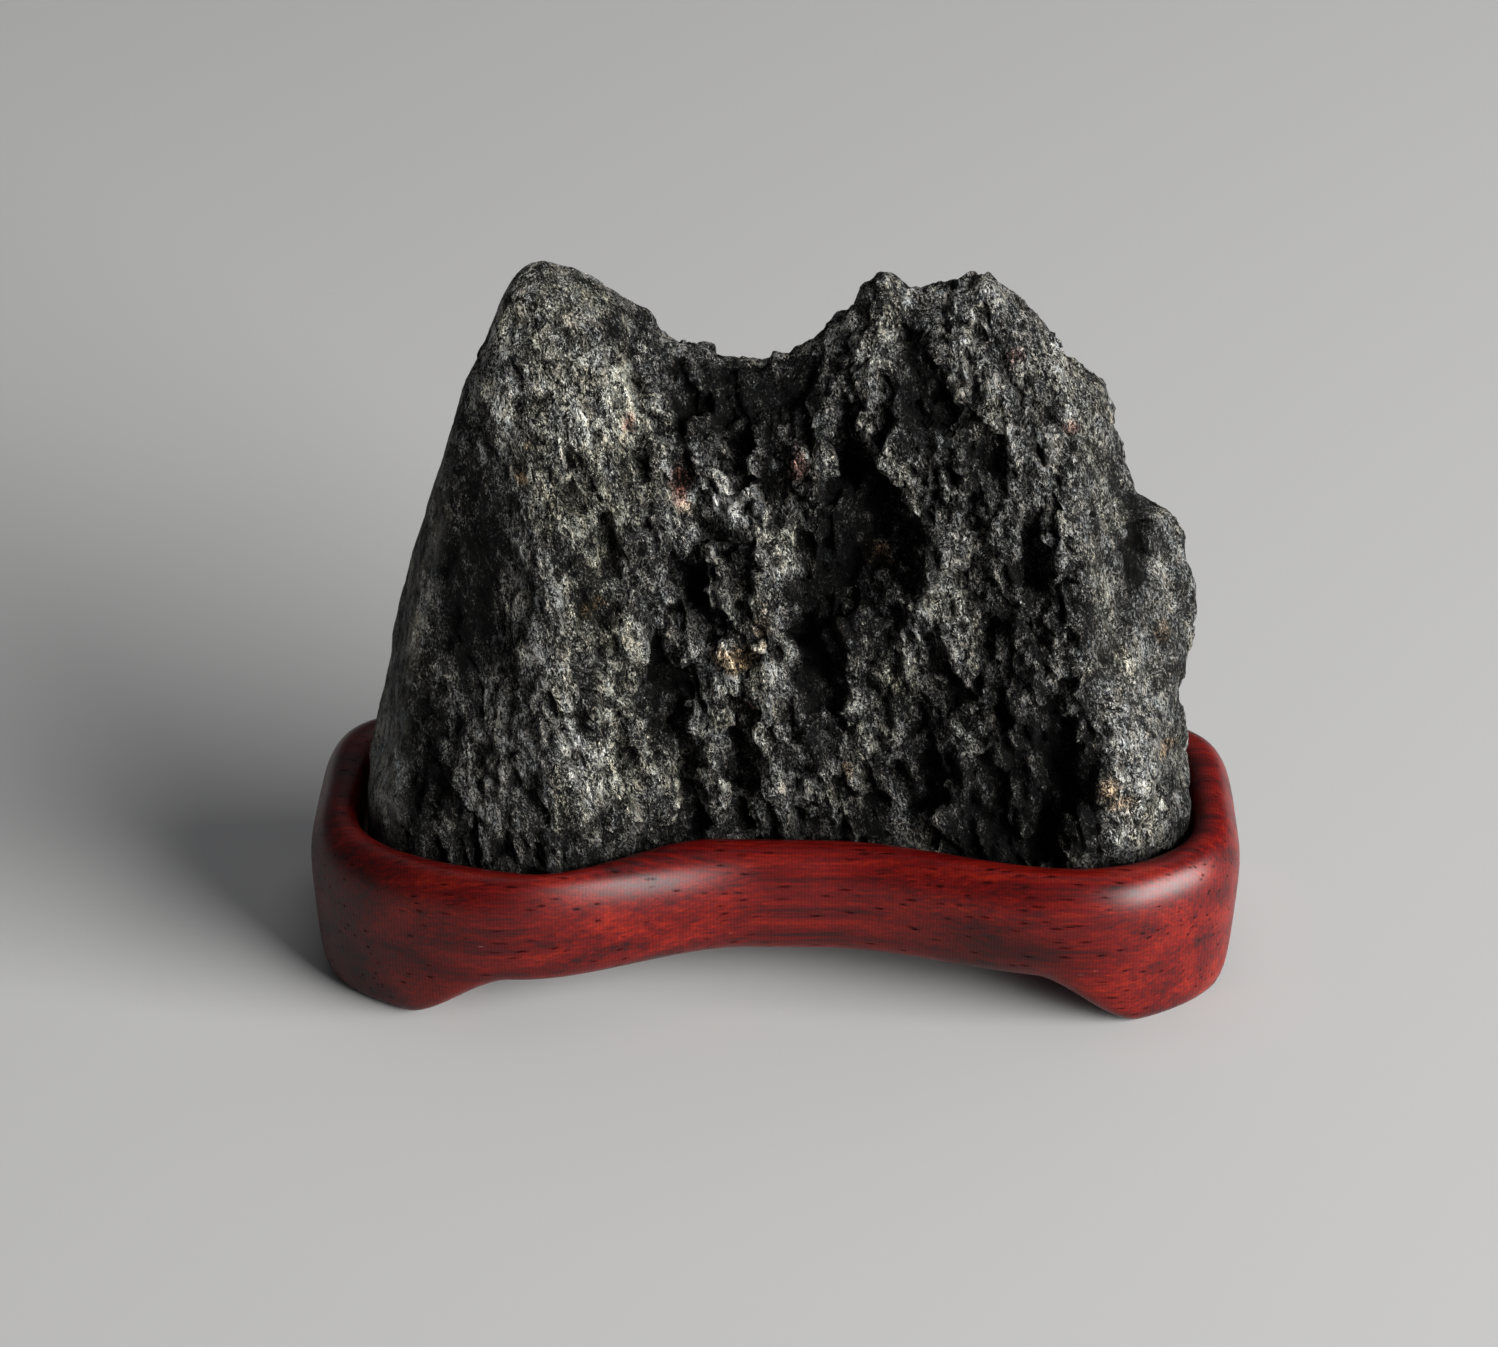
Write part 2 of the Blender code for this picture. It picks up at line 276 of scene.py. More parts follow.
@dataclass(frozen=True)
class Stroke:
    """A groove (height below 0) or a rib (above 0) along (x, z) points on one broad side."""

    name: str
    path: Points
    half_width: float
    height: float
    side: Side = Side.FRONT
    sharpness: float = 1.5

    def lift(self, x: Array, z: Array) -> Array:
        """How far the stroke moves the surface at each place.

        Args:
            x: The places' x.
            z: The places' z.

        Returns:
            The lift, from 0 at the stroke's edge to its height on its line.
        """
        near = np.full(x.shape, FAR)
        for start, end in zip(self.path, self.path[1:]):
            along_x, along_z = end[0] - start[0], end[1] - start[1]
            part = (x - start[0]) * along_x + (z - start[1]) * along_z
            part = held(part / (along_x**2 + along_z**2))
            gap = np.hypot(x - start[0] - part * along_x, z - start[1] - part * along_z)
            near = np.minimum(near, gap)
        return self.height * held(1 - (near / self.half_width) ** 2) ** self.sharpness


@dataclass(frozen=True)
class Stain:
    """A patch on the front: its middle, half width, half height and strength."""

    name: str
    x: float
    z: float
    half_width: float
    half_height: float
    strength: float = 1.0

    def shown(self, x: Array, z: Array, soft: Point, push: Array | float = 0.0) -> Array:
        """How strongly the patch shows at each place.

        Args:
            x: The places' x.
            z: The places' z.
            soft: Where the patch starts to fade and where it ends, in its own half widths.
            push: How far its edge is pushed in, in the same measure.

        Returns:
            The strength at each place.
        """
        away = np.hypot((x - self.x) / self.half_width, (z - self.z) / self.half_height)
        return self.strength * (1 - smooth_step(away + push, *soft))


FACETS = (
    Facet("dark left face", (-15, -6.7, 25), (-0.54, -0.81, 0.22)),
    Facet("left back bevel", (-21.9, -1.2, 25), (-0.93, -0.3, 0.2)),
    Facet("smooth right face", (17, -6.3, 25), (0.6, -0.76, 0.22), 0.7),
    Facet("upper back slope", (2, 6.9, 33), (0, 0.9, 0.42)),
    Facet("left back break", (-16, 6.2, 24), (-0.55, 0.81, 0.18)),
    Facet("right back break", (16.5, 6.4, 22), (0.62, 0.76, 0.12)),
)

MAIN_STROKES = (
    Stroke("hollow top", ((3.6, 38.3), (4.1, 35.4), (4.6, 33.4)), 1.3, -1.1),
    Stroke("great hollow", ((5.1, 33.7), (6.4, 32), (6.2, 29.8), (4.7, 27)), 2.6, -2.3),
    Stroke("saddle crack", ((-6.2, 38.6), (-5.1, 37.8), (-3.3, 36.8), (-2, 33.4)), 1.4, -1),
    Stroke("middle crack", ((1.8, 29.9), (2.2, 26.2), (2, 23.3), (3.4, 18.6)), 1.4, -1.6),
    Stroke("left groove", ((-3.6, 31.5), (-5.4, 28), (-4.3, 24.5), (-4, 22.8)), 1.1, -1.3),
    Stroke("lower left groove", ((-6.2, 24.2), (-6.1, 19.6), (-5.2, 15.2)), 1.3, -1.2),
    Stroke("foot crack", ((-2.3, 19.2), (-2.1, 14), (-2.1, 10.2)), 1.1, -1.5),
    Stroke("buttress crack", ((-10, 31.5), (-9.7, 27.4), (-10, 24)), 1, -0.9),
    Stroke("buttress notch", ((-12.1, 35.2), (-11.4, 32.7)), 1, -0.6),
    Stroke("right flank crack", ((15.3, 30), (14.9, 27.9), (15.4, 26)), 1.1, -1),
    Stroke("deep right hollow", ((17.4, 19.8), (17.4, 15.5), (16.2, 10.6)), 1.7, -2),
    Stroke("right foot groove", ((9.4, 16.6), (9.1, 10.4)), 1.1, -0.8),
    Stroke("upper right pit", ((12.4, 35), (12.8, 34.8)), 1.4, -1.2),
    Stroke("right pit", ((11.7, 31.8), (11.7, 31)), 1.3, -1.2),
    Stroke("peak notch", ((8, 41.8), (8.6, 40.6), (9.9, 38.8)), 1.1, -1),
    Stroke("right slant", ((9.4, 24), (11, 20.6), (13.4, 19.4)), 1.1, -0.8),
    Stroke("lug crack", ((21.5, 31), (21.6, 28.5), (21.4, 26)), 1, -2.2),
    Stroke("lug undercut", ((23.2, 24.2), (24.8, 22.4)), 1.1, -0.7),
    Stroke("left arris", ((-15.8, 38.9), (-13.6, 32), (-12.9, 24.8), (-12.8, 11)), 1.8, 0.6),
    Stroke("middle rib", ((-0.9, 31.1), (-1.2, 26.1), (-0.5, 19.5), (0.2, 12.6)), 1.4, 0.8),
    Stroke("peak rib", ((5.4, 41.6), (6.6, 38.7), (7, 36)), 1.5, 0.9),
    Stroke("saddle rib", ((2.1, 37.5), (2, 33)), 1.1, 0.7),
    Stroke("hollow lip", ((8.6, 32.2), (9.4, 29.6), (8.6, 24.6)), 1.3, 0.9),
    Stroke("right knob", ((11.1, 25.6), (11.5, 23.6)), 1.2, 0.7),
    Stroke("right arris", ((17.4, 31.7), (18.1, 26.9), (19.2, 21.4)), 1.6, 0.6),
    Stroke("right boulder", ((21, 17.5), (21.6, 13.8), (21, 11.4)), 3.2, 1.3),
    Stroke("back rib", ((-7, 41), (-5, 30), (-7.5, 18), (-6, 11)), 3.4, 1, Side.BACK),
    Stroke("back right rib", ((9, 40), (11.5, 27), (9, 15)), 3.2, 0.9, Side.BACK),
    Stroke("back trough", ((0, 38), (2.6, 28), (1, 16)), 2.6, -1.5, Side.BACK),
    Stroke("back ledge", ((-20, 20), (-13, 22.5), (-10.5, 26.5)), 1.6, -1.1, Side.BACK),
    Stroke("back hollow", ((14.5, 31), (16.5, 24.5)), 2, -1.4, Side.BACK),
    Stroke("back foot crack", ((5, 18), (4.2, 11)), 1.3, -1.1, Side.BACK),
    Stroke("back shoulder crack", ((-14, 39.5), (-12.4, 33)), 1.3, -0.9, Side.BACK),
    Stroke("back slant", ((15, 20.5), (20.5, 15.5)), 1.4, -0.9, Side.BACK),
)

FINE_STROKES = (
    Stroke("hollow throat", ((3.6, 38.3), (4.1, 35.4), (4.4, 33)), 0.7, -0.5),
    Stroke("hollow floor", ((5.1, 33.7), (6.4, 32.2), (6.2, 29.8), (4.9, 27.8)), 1, -0.8),
    Stroke("hollow tail", ((5.3, 28.8), (4.5, 26.2)), 0.7, -0.7),
    Stroke("saddle slit", ((-2.2, 35.7), (-1.8, 32.9)), 0.6, -0.7),
    Stroke("saddle nick", ((-0.9, 39.2), (-1.2, 37.2)), 0.6, -0.6),
    Stroke("peak foot slit", ((2.1, 40.1), (1.5, 38.1)), 0.5, -0.6),
    Stroke("short slit", ((0.5, 35.5), (0.1, 33)), 0.6, -0.7),
    Stroke("left groove floor", ((-3.5, 31.5), (-4.2, 29.8)), 0.8, -0.7),
    Stroke("left groove elbow", ((-5.6, 29.1), (-5.4, 26.8), (-4.2, 24.8), (-4, 22.8)), 0.8, -0.8),
    Stroke(
        "lower left slit", ((-5.9, 24.4), (-6.5, 22.3), (-6, 19.6), (-6.2, 17.2), (-5.2, 15)),
        0.7, -0.7,
    ),
    Stroke("foot slit", ((-2.3, 19.2), (-2.2, 16.4), (-1.7, 13.6), (-2.1, 10.2)), 0.7, -0.9),
    Stroke("foot side slit", ((-1.1, 16.2), (-0.9, 14.3)), 0.5, -0.5),
    Stroke("middle slit", ((1.8, 29.9), (2.2, 26.2), (1.9, 23.3), (3.2, 20.3), (3.7, 18.1)), 0.8, -0.9),
    Stroke("lower slit", ((0.9, 19.5), (1.1, 16.8)), 0.5, -0.8),
    Stroke("knob slit", ((6.7, 25.9), (6.9, 23.4)), 0.8, -0.8),
    Stroke("right slant floor", ((9.4, 24), (10.3, 22.1), (11, 20.3)), 0.7, -0.6),
    Stroke("right slant side", ((12.5, 23.7), (13.5, 20.6), (13.5, 19)), 0.7, -0.7),
    Stroke("knob side slit", ((13.8, 26.9), (13.7, 24.4)), 0.6, -0.7),
    Stroke("flank slit", ((15.2, 29.9), (14.9, 27.9), (15.4, 26.4)), 0.6, -0.6),
    Stroke("deep hollow floor", ((17.4, 20), (17.5, 16.9), (17, 14.2), (16.1, 10.8)), 0.9, -0.9),
    Stroke("right foot slit", ((9.4, 16.6), (9, 13.5), (9.2, 10.6)), 0.6, -0.6),
    Stroke("right foot side slit", ((10.7, 14.9), (10.7, 10.3)), 0.6, -0.7),
    Stroke("peak slit", ((9.3, 40.3), (10.2, 38.4)), 0.6, -0.6),
    Stroke("peak top slit", ((7.6, 42.8), (8.2, 41.6)), 0.5, -0.5),
    Stroke("shoulder slit", ((16.2, 34), (16.3, 30)), 0.5, -0.6),
    Stroke("shoulder pit", ((17.4, 28.7), (17.4, 28.4)), 0.6, -0.6),
    Stroke("right face slit", ((19.1, 26.4), (19.6, 24.4), (19.5, 21.9)), 0.5, -0.7),
    Stroke("right face nick", ((20.7, 25.9), (21.2, 24.2)), 0.5, -0.5),
    Stroke("lug slit", ((21.5, 30.6), (21.6, 28.5), (21.4, 26.6)), 0.5, -1.2),
    Stroke("buttress slit", ((-9.9, 30.2), (-9.7, 27.4), (-10, 24.6)), 0.6, -0.6),
    Stroke("buttress top slit", ((-10.3, 33), (-10, 31.1)), 0.4, -0.6),
    Stroke("buttress gash", ((-12.1, 35.2), (-11.3, 32.7)), 0.5, -0.5),
    Stroke("left foot hollow", ((-12.4, 12.1), (-10.5, 10.9)), 0.9, -0.8),
    Stroke("left foot nick", ((-7.2, 10.7), (-6.5, 9.5)), 0.8, -0.8),
    Stroke("arris chip", ((-12.6, 18), (-11.6, 14.4)), 0.7, -0.5),
    Stroke("saddle ridge", ((-4.2, 36.3), (-3.5, 32.8)), 0.9, 0.5),
    Stroke("slit ridge", ((-2.4, 31.6), (-2.4, 29.1)), 0.8, 0.5),
    Stroke("groove knob", ((-4.8, 24.7), (-4.5, 21.8)), 0.8, 0.4),
    Stroke("yellow knob", ((-2.8, 22.6), (-2.7, 21.8)), 1.2, 0.6),
    Stroke("hollow knob", ((8.2, 32.3), (8.8, 30.3)), 0.9, 0.5),
    Stroke("lip knob", ((8.1, 26.5), (8.8, 24.3)), 0.9, 0.5),
    Stroke("right knob top", ((10.9, 25.6), (11.4, 23.9)), 0.8, 0.5),
    Stroke("tail knob", ((5.2, 25), (5.8, 23.4)), 0.9, 0.5),
    Stroke("buttress ridge", ((-8.2, 31.7), (-7.4, 27.9)), 0.9, 0.4),
    Stroke("foot ridge", ((-9.2, 15), (-8.1, 10.6)), 0.9, 0.5),
    Stroke("left face knob", ((-19.5, 26.6), (-18.5, 24.6)), 1, 0.3),
)

RUST_STAINS = (
    Stain("red streak", -5.6, 33, 0.5, 1),
    Stain("red crumb", -8.7, 36.9, 0.45, 0.4, 0.6),
    Stain("pink brown spot", 1.3, 34.5, 0.6, 0.9, 0.7),
    Stain("peak rust", 13.9, 41.1, 0.6, 0.4, 0.5),
    Stain("shoulder rust", 17.3, 36.8, 0.4, 0.4, 0.6),
    Stain("pink spot", -1.8, 18.7, 0.4, 0.3, 0.6),
)

TAN_STAINS = (
    Stain("hollow tan", 6.1, 28.5, 0.7, 0.7),
    Stain("yellow patch", -2.4, 22.3, 1.3, 0.9, 0.9),
    Stain("patch tail", -0.7, 24.6, 0.6, 1.2, 0.4),
    Stain("streak foot", -5.2, 31.4, 0.5, 0.5, 0.45),
    Stain("buttress tan", -10.9, 26.4, 0.8, 0.5, 0.9),
    Stain("left tan", -14.9, 34, 0.4, 0.4, 0.8),
    Stain("left top tan", -14.4, 36, 0.3, 0.3, 0.5),
    Stain("boulder tan", 19.9, 15.4, 0.8, 0.7, 0.7),
    Stain("boulder side tan", 20.8, 14.2, 0.8, 0.5, 0.6),
    Stain("lug tan", 23.3, 23.3, 0.5, 0.6, 0.5),
    Stain("right tan", 23.8, 16.1, 0.6, 0.5, 0.6),
    Stain("foot tan", 4.5, 14.8, 0.5, 0.4, 0.6),
    Stain("knob tan", 3.9, 24.2, 0.5, 0.7, 0.4),
)

PALE_STAINS = (
    Stain("pale fleck", -18.4, 24.9, 0.5, 0.6, 0.5),
    Stain("low pale fleck", -19, 15.6, 0.4, 0.6, 0.6),
    Stain("small pale fleck", -17.6, 15.2, 0.4, 0.5, 0.5),
    Stain("groove crumb", -4.2, 27.2, 0.4, 0.6, 0.9),
    Stain("right crumb", 5, 21.7, 0.5, 0.6, 0.5),
    Stain("boulder light", 21.4, 12.6, 1.2, 1.4, 0.5),
)

# Painted shade: each patch darkens the stone's colour and shows fewer bright grains, in place of shade
# on recessed and turned-away parts of the front.
PAINTED_SHADE_PATCHES = (
    Stain("lower right shade", 14.6, 14.5, 5, 7.5, 0.85),
    Stain("boulder side shade", 18.2, 14.5, 1.6, 5.5, 1),
    Stain("hollow shade", 3.2, 27, 2.6, 8, 0.9),
    Stain("hollow top shade", 6.2, 32.6, 1.6, 1.7, 1),
    Stain("hollow side shade", 8.6, 29.5, 1.6, 2.6, 0.8),
    Stain("foot shade", 5.6, 11.6, 1.3, 1.8, 0.9),
    Stain("lug crack shade", 21.5, 28.6, 0.8, 2.8, 1),
    Stain("middle groove shade", 2, 20, 1.4, 4, 0.9),
    Stain("middle shade", 9.5, 19, 4.5, 4, 0.45),
    Stain("flank shade", 14.3, 26, 2.4, 5, 0.5),
    Stain("high flank shade", 11.5, 36, 1.6, 3, 0.5),
    Stain("peak side shade", 8.4, 38.5, 1.7, 4.5, 0.85),
    Stain("saddle shade", -1.5, 38.8, 4.5, 2.8, 0.75),
    Stain("left face shade", -18.4, 27.5, 2.2, 8, 0.8),
    Stain("left low shade", -21.2, 15.5, 2.6, 7, 0.6),
    Stain("left groove shade", -6.3, 19, 1.8, 4, 0.6),
    Stain("arris shade", -10.6, 25, 1.6, 3, 0.3),
    Stain("saddle foot shade", -4, 37, 3, 2.5, 0.5),
    Stain("knob shade", 2.6, 22, 1.8, 4.5, 0.6),
)

# Painted light: each patch lightens the stone's colour and shows more bright grains, in place of light
# falling on those parts.
PAINTED_LIGHT_PATCHES = (
    Stain("groove light", -4, 32, 2, 2, 0.9),
    Stain("foot light", -0.5, 18, 1.6, 3, 0.4),
    Stain("boulder light", 21, 17, 2.4, 4.5, 0.35),
    Stain("crown light", 17.3, 41, 2, 2.5, 0.6),
    Stain("buttress light", -10.5, 38, 3, 4, 0.4),
    Stain("strip foot light", -24, 15.5, 1.8, 5, 0.8),
    Stain("left shoulder light", -16, 39, 1.3, 4.5, 0.45),
    Stain("left foot light", -11.2, 16.5, 2.4, 3.5, 0.5),
    Stain("yellow patch light", -3.4, 21.8, 1.4, 2.6, 0.6),
    Stain("rib light", -4.8, 29.5, 1.6, 1.6, 0.5),
    Stain("hollow tan light", 6.1, 28.7, 0.9, 0.9, 1),
    Stain("left fleck light", -18.2, 17, 1.2, 1.6, 0.5),
)


@dataclass(frozen=True)
class StoneShape:
    """The stone's outlines and the heights of its lumps."""

    foot: Foot = field(default_factory=Foot)
    bottom: float = 7.3
    rim_height: float = 10.3
    crest_drop: float = 3
    crest_shape: float = 1.9
    crest_thinning: float = 0.25
    crest_thinning_reach: int = 8
    upper_back_squareness: float = 2.8
    back_easing: Point = (0.05, 0.5)
    lug_reach: int = 8
    left_edge: Points = (
        (7.3, -25.3), (12.5, -25), (17.5, -23.9), (23, -22.9), (28.5, -21.3),
        (32.5, -20.1), (36.5, -18.8), (40.5, -17.2), (42.5, -16.4),
    )
    right_edge: Points = (
        (7.3, 25.3), (11, 25.6), (13.5, 25.1), (18.5, 24.6), (22, 23.9), (26, 23),
        (30.5, 21.9), (32.5, 21.1), (35.5, 19.9),
    )
    lug: Points = (
        (19, 0), (21, 1), (23.2, 2), (25, 2.8), (27, 3.1), (29.5, 3.5), (30.6, 3.2),
        (31.1, 0.9), (31.6, 0),
    )
    skyline: Points = (
        (-16.4, 42.6), (-15.4, 44.4), (-14, 45.5), (-12.6, 45.3), (-11.2, 44.6), (-9.6, 43.5),
        (-8, 42.2), (-6.6, 40.7), (-4, 40), (-1.8, 39.4), (1.2, 40), (2.4, 40.7),
        (4.2, 42.9), (6, 45), (7.8, 44), (10, 44.4), (12.2, 45.3), (13.2, 44.4),
        (14.4, 43.3), (16.2, 41), (17.8, 39.2), (18.9, 38.1), (19.8, 36.3),
    )
    front_reach: Points = (
        (7.3, 1), (20.5, 0.9), (30.5, 0.74), (38.5, 0.58), (46.5, 0.42),
    )
    back_reach: Points = (
        (7.3, 1), (12, 0.93), (20, 0.86), (30, 0.72), (38.5, 0.58), (46.5, 0.44),
    )
    lean: Points = ((7.3, -0.75), (25.5, -0.35), (46.5, 0.85))
    waist_rise: Points = ((7.3, 1), (18.5, 0.8), (30.5, 0.55), (46.5, 0.35))
    facet_fade: float = 5

    def lay(self, block: Array) -> Array:
        """Lay points of the unit block onto the stone before its relief is cut.

        Args:
            block: Points from -1 to 1 across and deep and from 0 to 1 high.

        Returns:
            The same points on the stone.
        """
        a, b, c = block.T
        back_power = blend(
            self.foot.back_squareness, self.upper_back_squareness, smooth_step(c, *self.back_easing)
        )
        power = np.where(b < 0, self.foot.front_squareness, back_power)
        section = (np.abs(a) ** power + np.abs(b) ** power) ** (1 / power)
        rounding = np.maximum(np.abs(a), np.abs(b)) / np.maximum(TINY, section)
        a, b = a * rounding, b * rounding
        crest_x = blend(self.skyline[0][0], self.skyline[-1][0], 0.5 * (a + 1))
        crest = through(self.skyline, crest_x) - self.crest_drop * np.abs(b) ** self.crest_shape
        z = blend(self.bottom, crest, c)
        x = blend(through(self.left_edge, z), through(self.right_edge, z), 0.5 * (a + 1))
        x = x + through(self.lug, z) * np.maximum(0.0, a) ** self.lug_reach
        b = b * (1 - self.crest_thinning * c**self.crest_thinning_reach)
        front = b * (
            self.foot.front_depth * through(self.front_reach, z)
            - self.foot.waist(x) * through(self.waist_rise, z)
        )
        back = b * self.foot.back_depth * through(self.back_reach, z)
        y = np.where(b < 0, front, back) + through(self.lean, z)
        return np.column_stack([x, y, z])

    def cut_facets(self, places: Array) -> Array:
        """Take points down towards the stone's flat breaks.

        Args:
            places: Points on the stone.

        Returns:
            The points where they end up.
        """
        fade = smooth_step(places[:, 2], self.rim_height, self.rim_height + self.facet_fade)
        for facet in FACETS:
            normal = np.array(facet.normal) / np.linalg.norm(facet.normal)
            past = np.maximum(0.0, (places - np.array(facet.point)) @ normal)
            places = places - normal * (past * facet.share * fade)[:, None]
        return places


@dataclass(frozen=True)
class StoneRelief:
    """The stone's grooves, ribs and natural lumps, from the broad ones to the grains."""

    shape: StoneShape
    lumps: Lumps = Lumps((4, 4, 7), 0.6, 3)
    lump_height: float = 0.55
    lump_end: Ease = Ease(15, 18, 1, 0.3)
    lump_top: Ease = Ease(35, 41, 1, 0.2)
    blocks: Chips = Chips((2.3, 2.3, 4.6), 0.32, 0.26)
    chips: Chips = Chips((1, 1, 1.7), 0.52, 0.24, 0.13)
    knobs: Lumps = Lumps((1.4, 1.4, 3.6), 0.8, 2, 0.2)
    knob_height: float = 0.42
    knob_level: float = 0.35
    knob_steepness: float = 1.8
    crumbs: Lumps = Lumps((0.55, 0.55, 1.2), 0.7, 2, 0.2)
    crumb_height: float = 0.22
    grains: Lumps = Lumps((0.3, 0.3, 0.42), 0.8, 2, 0.2)
    grain_height: float = 0.05
    least_grain: float = 0.25
    slit_share: float = 0.55
    wander: Lumps = Lumps((1.5, 1.5, 2.2), 0.6, 3)
    wander_across: float = 0.42
    wander_up: float = 2
    uneven: Lumps = Lumps((4, 4, 7), 0.7, 3)
    uneven_middle: float = 0.75
    uneven_swing: float = 0.6
    rim_fade: Ease = Ease(-0.5, 2.5)
    foot_fade: Ease = Ease(0, 1.5)
    buttress_calm: Ease = Ease(7, 10, 0, 0.5)
    buttress_rise: Ease = Ease(20, 32)
    left_calm: Ease = Ease(14, 22, 0.35, 0.62)
    right_calm: float = 0.5
    strip_calm: float = 0.85
    crest_edge: Ease = Ease(-3.2, -0.6)
    crest_calm: Ease = Ease(5, 12, 0.55, 0.8)
    lug_calm: Ease = Ease(20.5, 23.5, 0, 0.5)
    strip_ease: Ease = Ease(-0.2, 0.7)
    arris_ease: Ease = Ease(-0.4, 1)
    right_ease: Ease = Ease(-0.5, 1.2)
    right_facing: float = 0.2
    strip_edge: Points = (
        (7.3, -22.8), (16.8, -22), (20, -21.6), (23.4, -20.9), (28.4, -19.6), (31.9, -19.2),
        (35.1, -18.8), (45.5, -17),
    )
    arris: Points = (
        (7.3, -12.8), (11.2, -12.8), (18.5, -13.2), (24.8, -12.9), (29.5, -13.3), (34.7, -13.8),
        (38.9, -15.8), (45.5, -16.6),
    )
    right_face: Points = (
        (7.3, 26), (13, 24), (20, 19.2), (27, 18), (32, 17.2), (38, 18),
    )

    def fades(self, z: Array, lift: Array) -> Array:
        """Let a lift die away at the foot, and what stands out die away at the rim."""
        lift = np.where(lift > 0, lift * self.rim_fade.at(z - self.shape.rim_height), lift)
        return lift * self.foot_fade.at(z - self.shape.bottom)

    def strokes(self, marks: Sequence[Stroke], places: Array, normals: Array) -> Array:
        """How far a set of strokes moves each place along its normal.

        Args:
            marks: The strokes.
            places: Points on the stone.
            normals: The stone's normals there.

        Returns:
            The lift at each place.
        """
        swing = self.wander_across * self.wander.at(places)
        drift = self.wander_across * self.wander.at(places + SHIFT)
        x, z = places[:, 0] + swing, places[:, 2] + self.wander_up * drift
        faces_front = normals[:, 1] < 0
        total = np.zeros(len(places))
        for mark in marks:
            on_side = faces_front if mark.side is Side.FRONT else ~faces_front
            total += np.where(on_side, mark.lift(x, z), 0.0)
        unevenness = self.uneven_middle + self.uneven_swing * self.uneven.at(places)
        return total * np.abs(normals[:, 1]) * unevenness

    def broad(self, places: Array, normals: Array) -> Array:
        """The lift of the broad strokes and lumps.

        Args:
            places: Points on the plain stone.
            normals: The stone's normals there.

        Returns:
            The lift along each normal.
        """
        calm = self.lump_height * self.lump_end.at(-places[:, 0]) * self.lump_top.at(places[:, 2])
        lift = self.strokes(MAIN_STROKES, places, normals) + calm * self.lumps.at(places)
        return self.fades(places[:, 2], lift)

    def strip(self, places: Array) -> Array:
        """1 on the smooth striated strip down the far left, 0 elsewhere."""
        return self.strip_ease.at(through(self.strip_edge, places[:, 2]) - places[:, 0])

    def left_face(self, places: Array) -> Array:
        """1 left of the left arris, 0 right of it."""
        return self.arris_ease.at(through(self.arris, places[:, 2]) - places[:, 0])

    def smooth_right(self, places: Array, normals: Array) -> Array:
        """1 on the finer right face, 0 elsewhere."""
        past = self.right_ease.at(places[:, 0] - through(self.right_face, places[:, 2]))
        return past * (normals[:, 1] < self.right_facing)

    def roughness(self, places: Array, normals: Array) -> Array:
        """How rough the stone is at each place.

        Args:
            places: Points on the stone.
            normals: The stone's normals there.

        Returns:
            The roughness, from 0 to 1.
        """
        x, _, z = places.T
        rough = np.ones(len(places))
        for calm in (
            self.buttress_calm.at(-x) * self.buttress_rise.at(z),
            self.left_face(places) * self.left_calm.at(z),
            self.right_calm * self.smooth_right(places, normals),
            self.strip_calm * self.strip(places),
            self.crest_edge.at(z - through(self.shape.skyline, x)) * self.crest_calm.at(-x),
            self.lug_calm.at(x),
        ):
            rough *= 1 - calm
        return rough

    def fine(self, places: Array, normals: Array) -> tuple[Array, Array]:
        """The lift of the slits, knobs, crumbs and grains.

        Args:
            places: Points on the broad form.
            normals: The form's normals there.

        Returns:
            The lift along each normal, first faded at the foot and the rim and then in full.
        """
        rough = self.roughness(places, normals)
        knobs = self.knob_level - np.abs(self.knobs.at(places)) * self.knob_steepness
        dips = self.knob_height * -knobs + self.crumb_height * self.crumbs.at(places)
        dips += self.blocks.lift(places) + self.chips.lift(places)
        grain = blend(self.least_grain, 1.0, rough) * self.grain_height * self.grains.at(places)
        lift = rough * dips + grain
        lift += self.slit_share * self.strokes(FINE_STROKES, places, normals)
        return self.fades(places[:, 2], lift), lift


@dataclass(frozen=True)
class Grain:
    """A noise pattern: its scale, its layers, their strength and how far they are twisted."""

    scale: float
    detail: float
    roughness: float
    distortion: float = 0.0


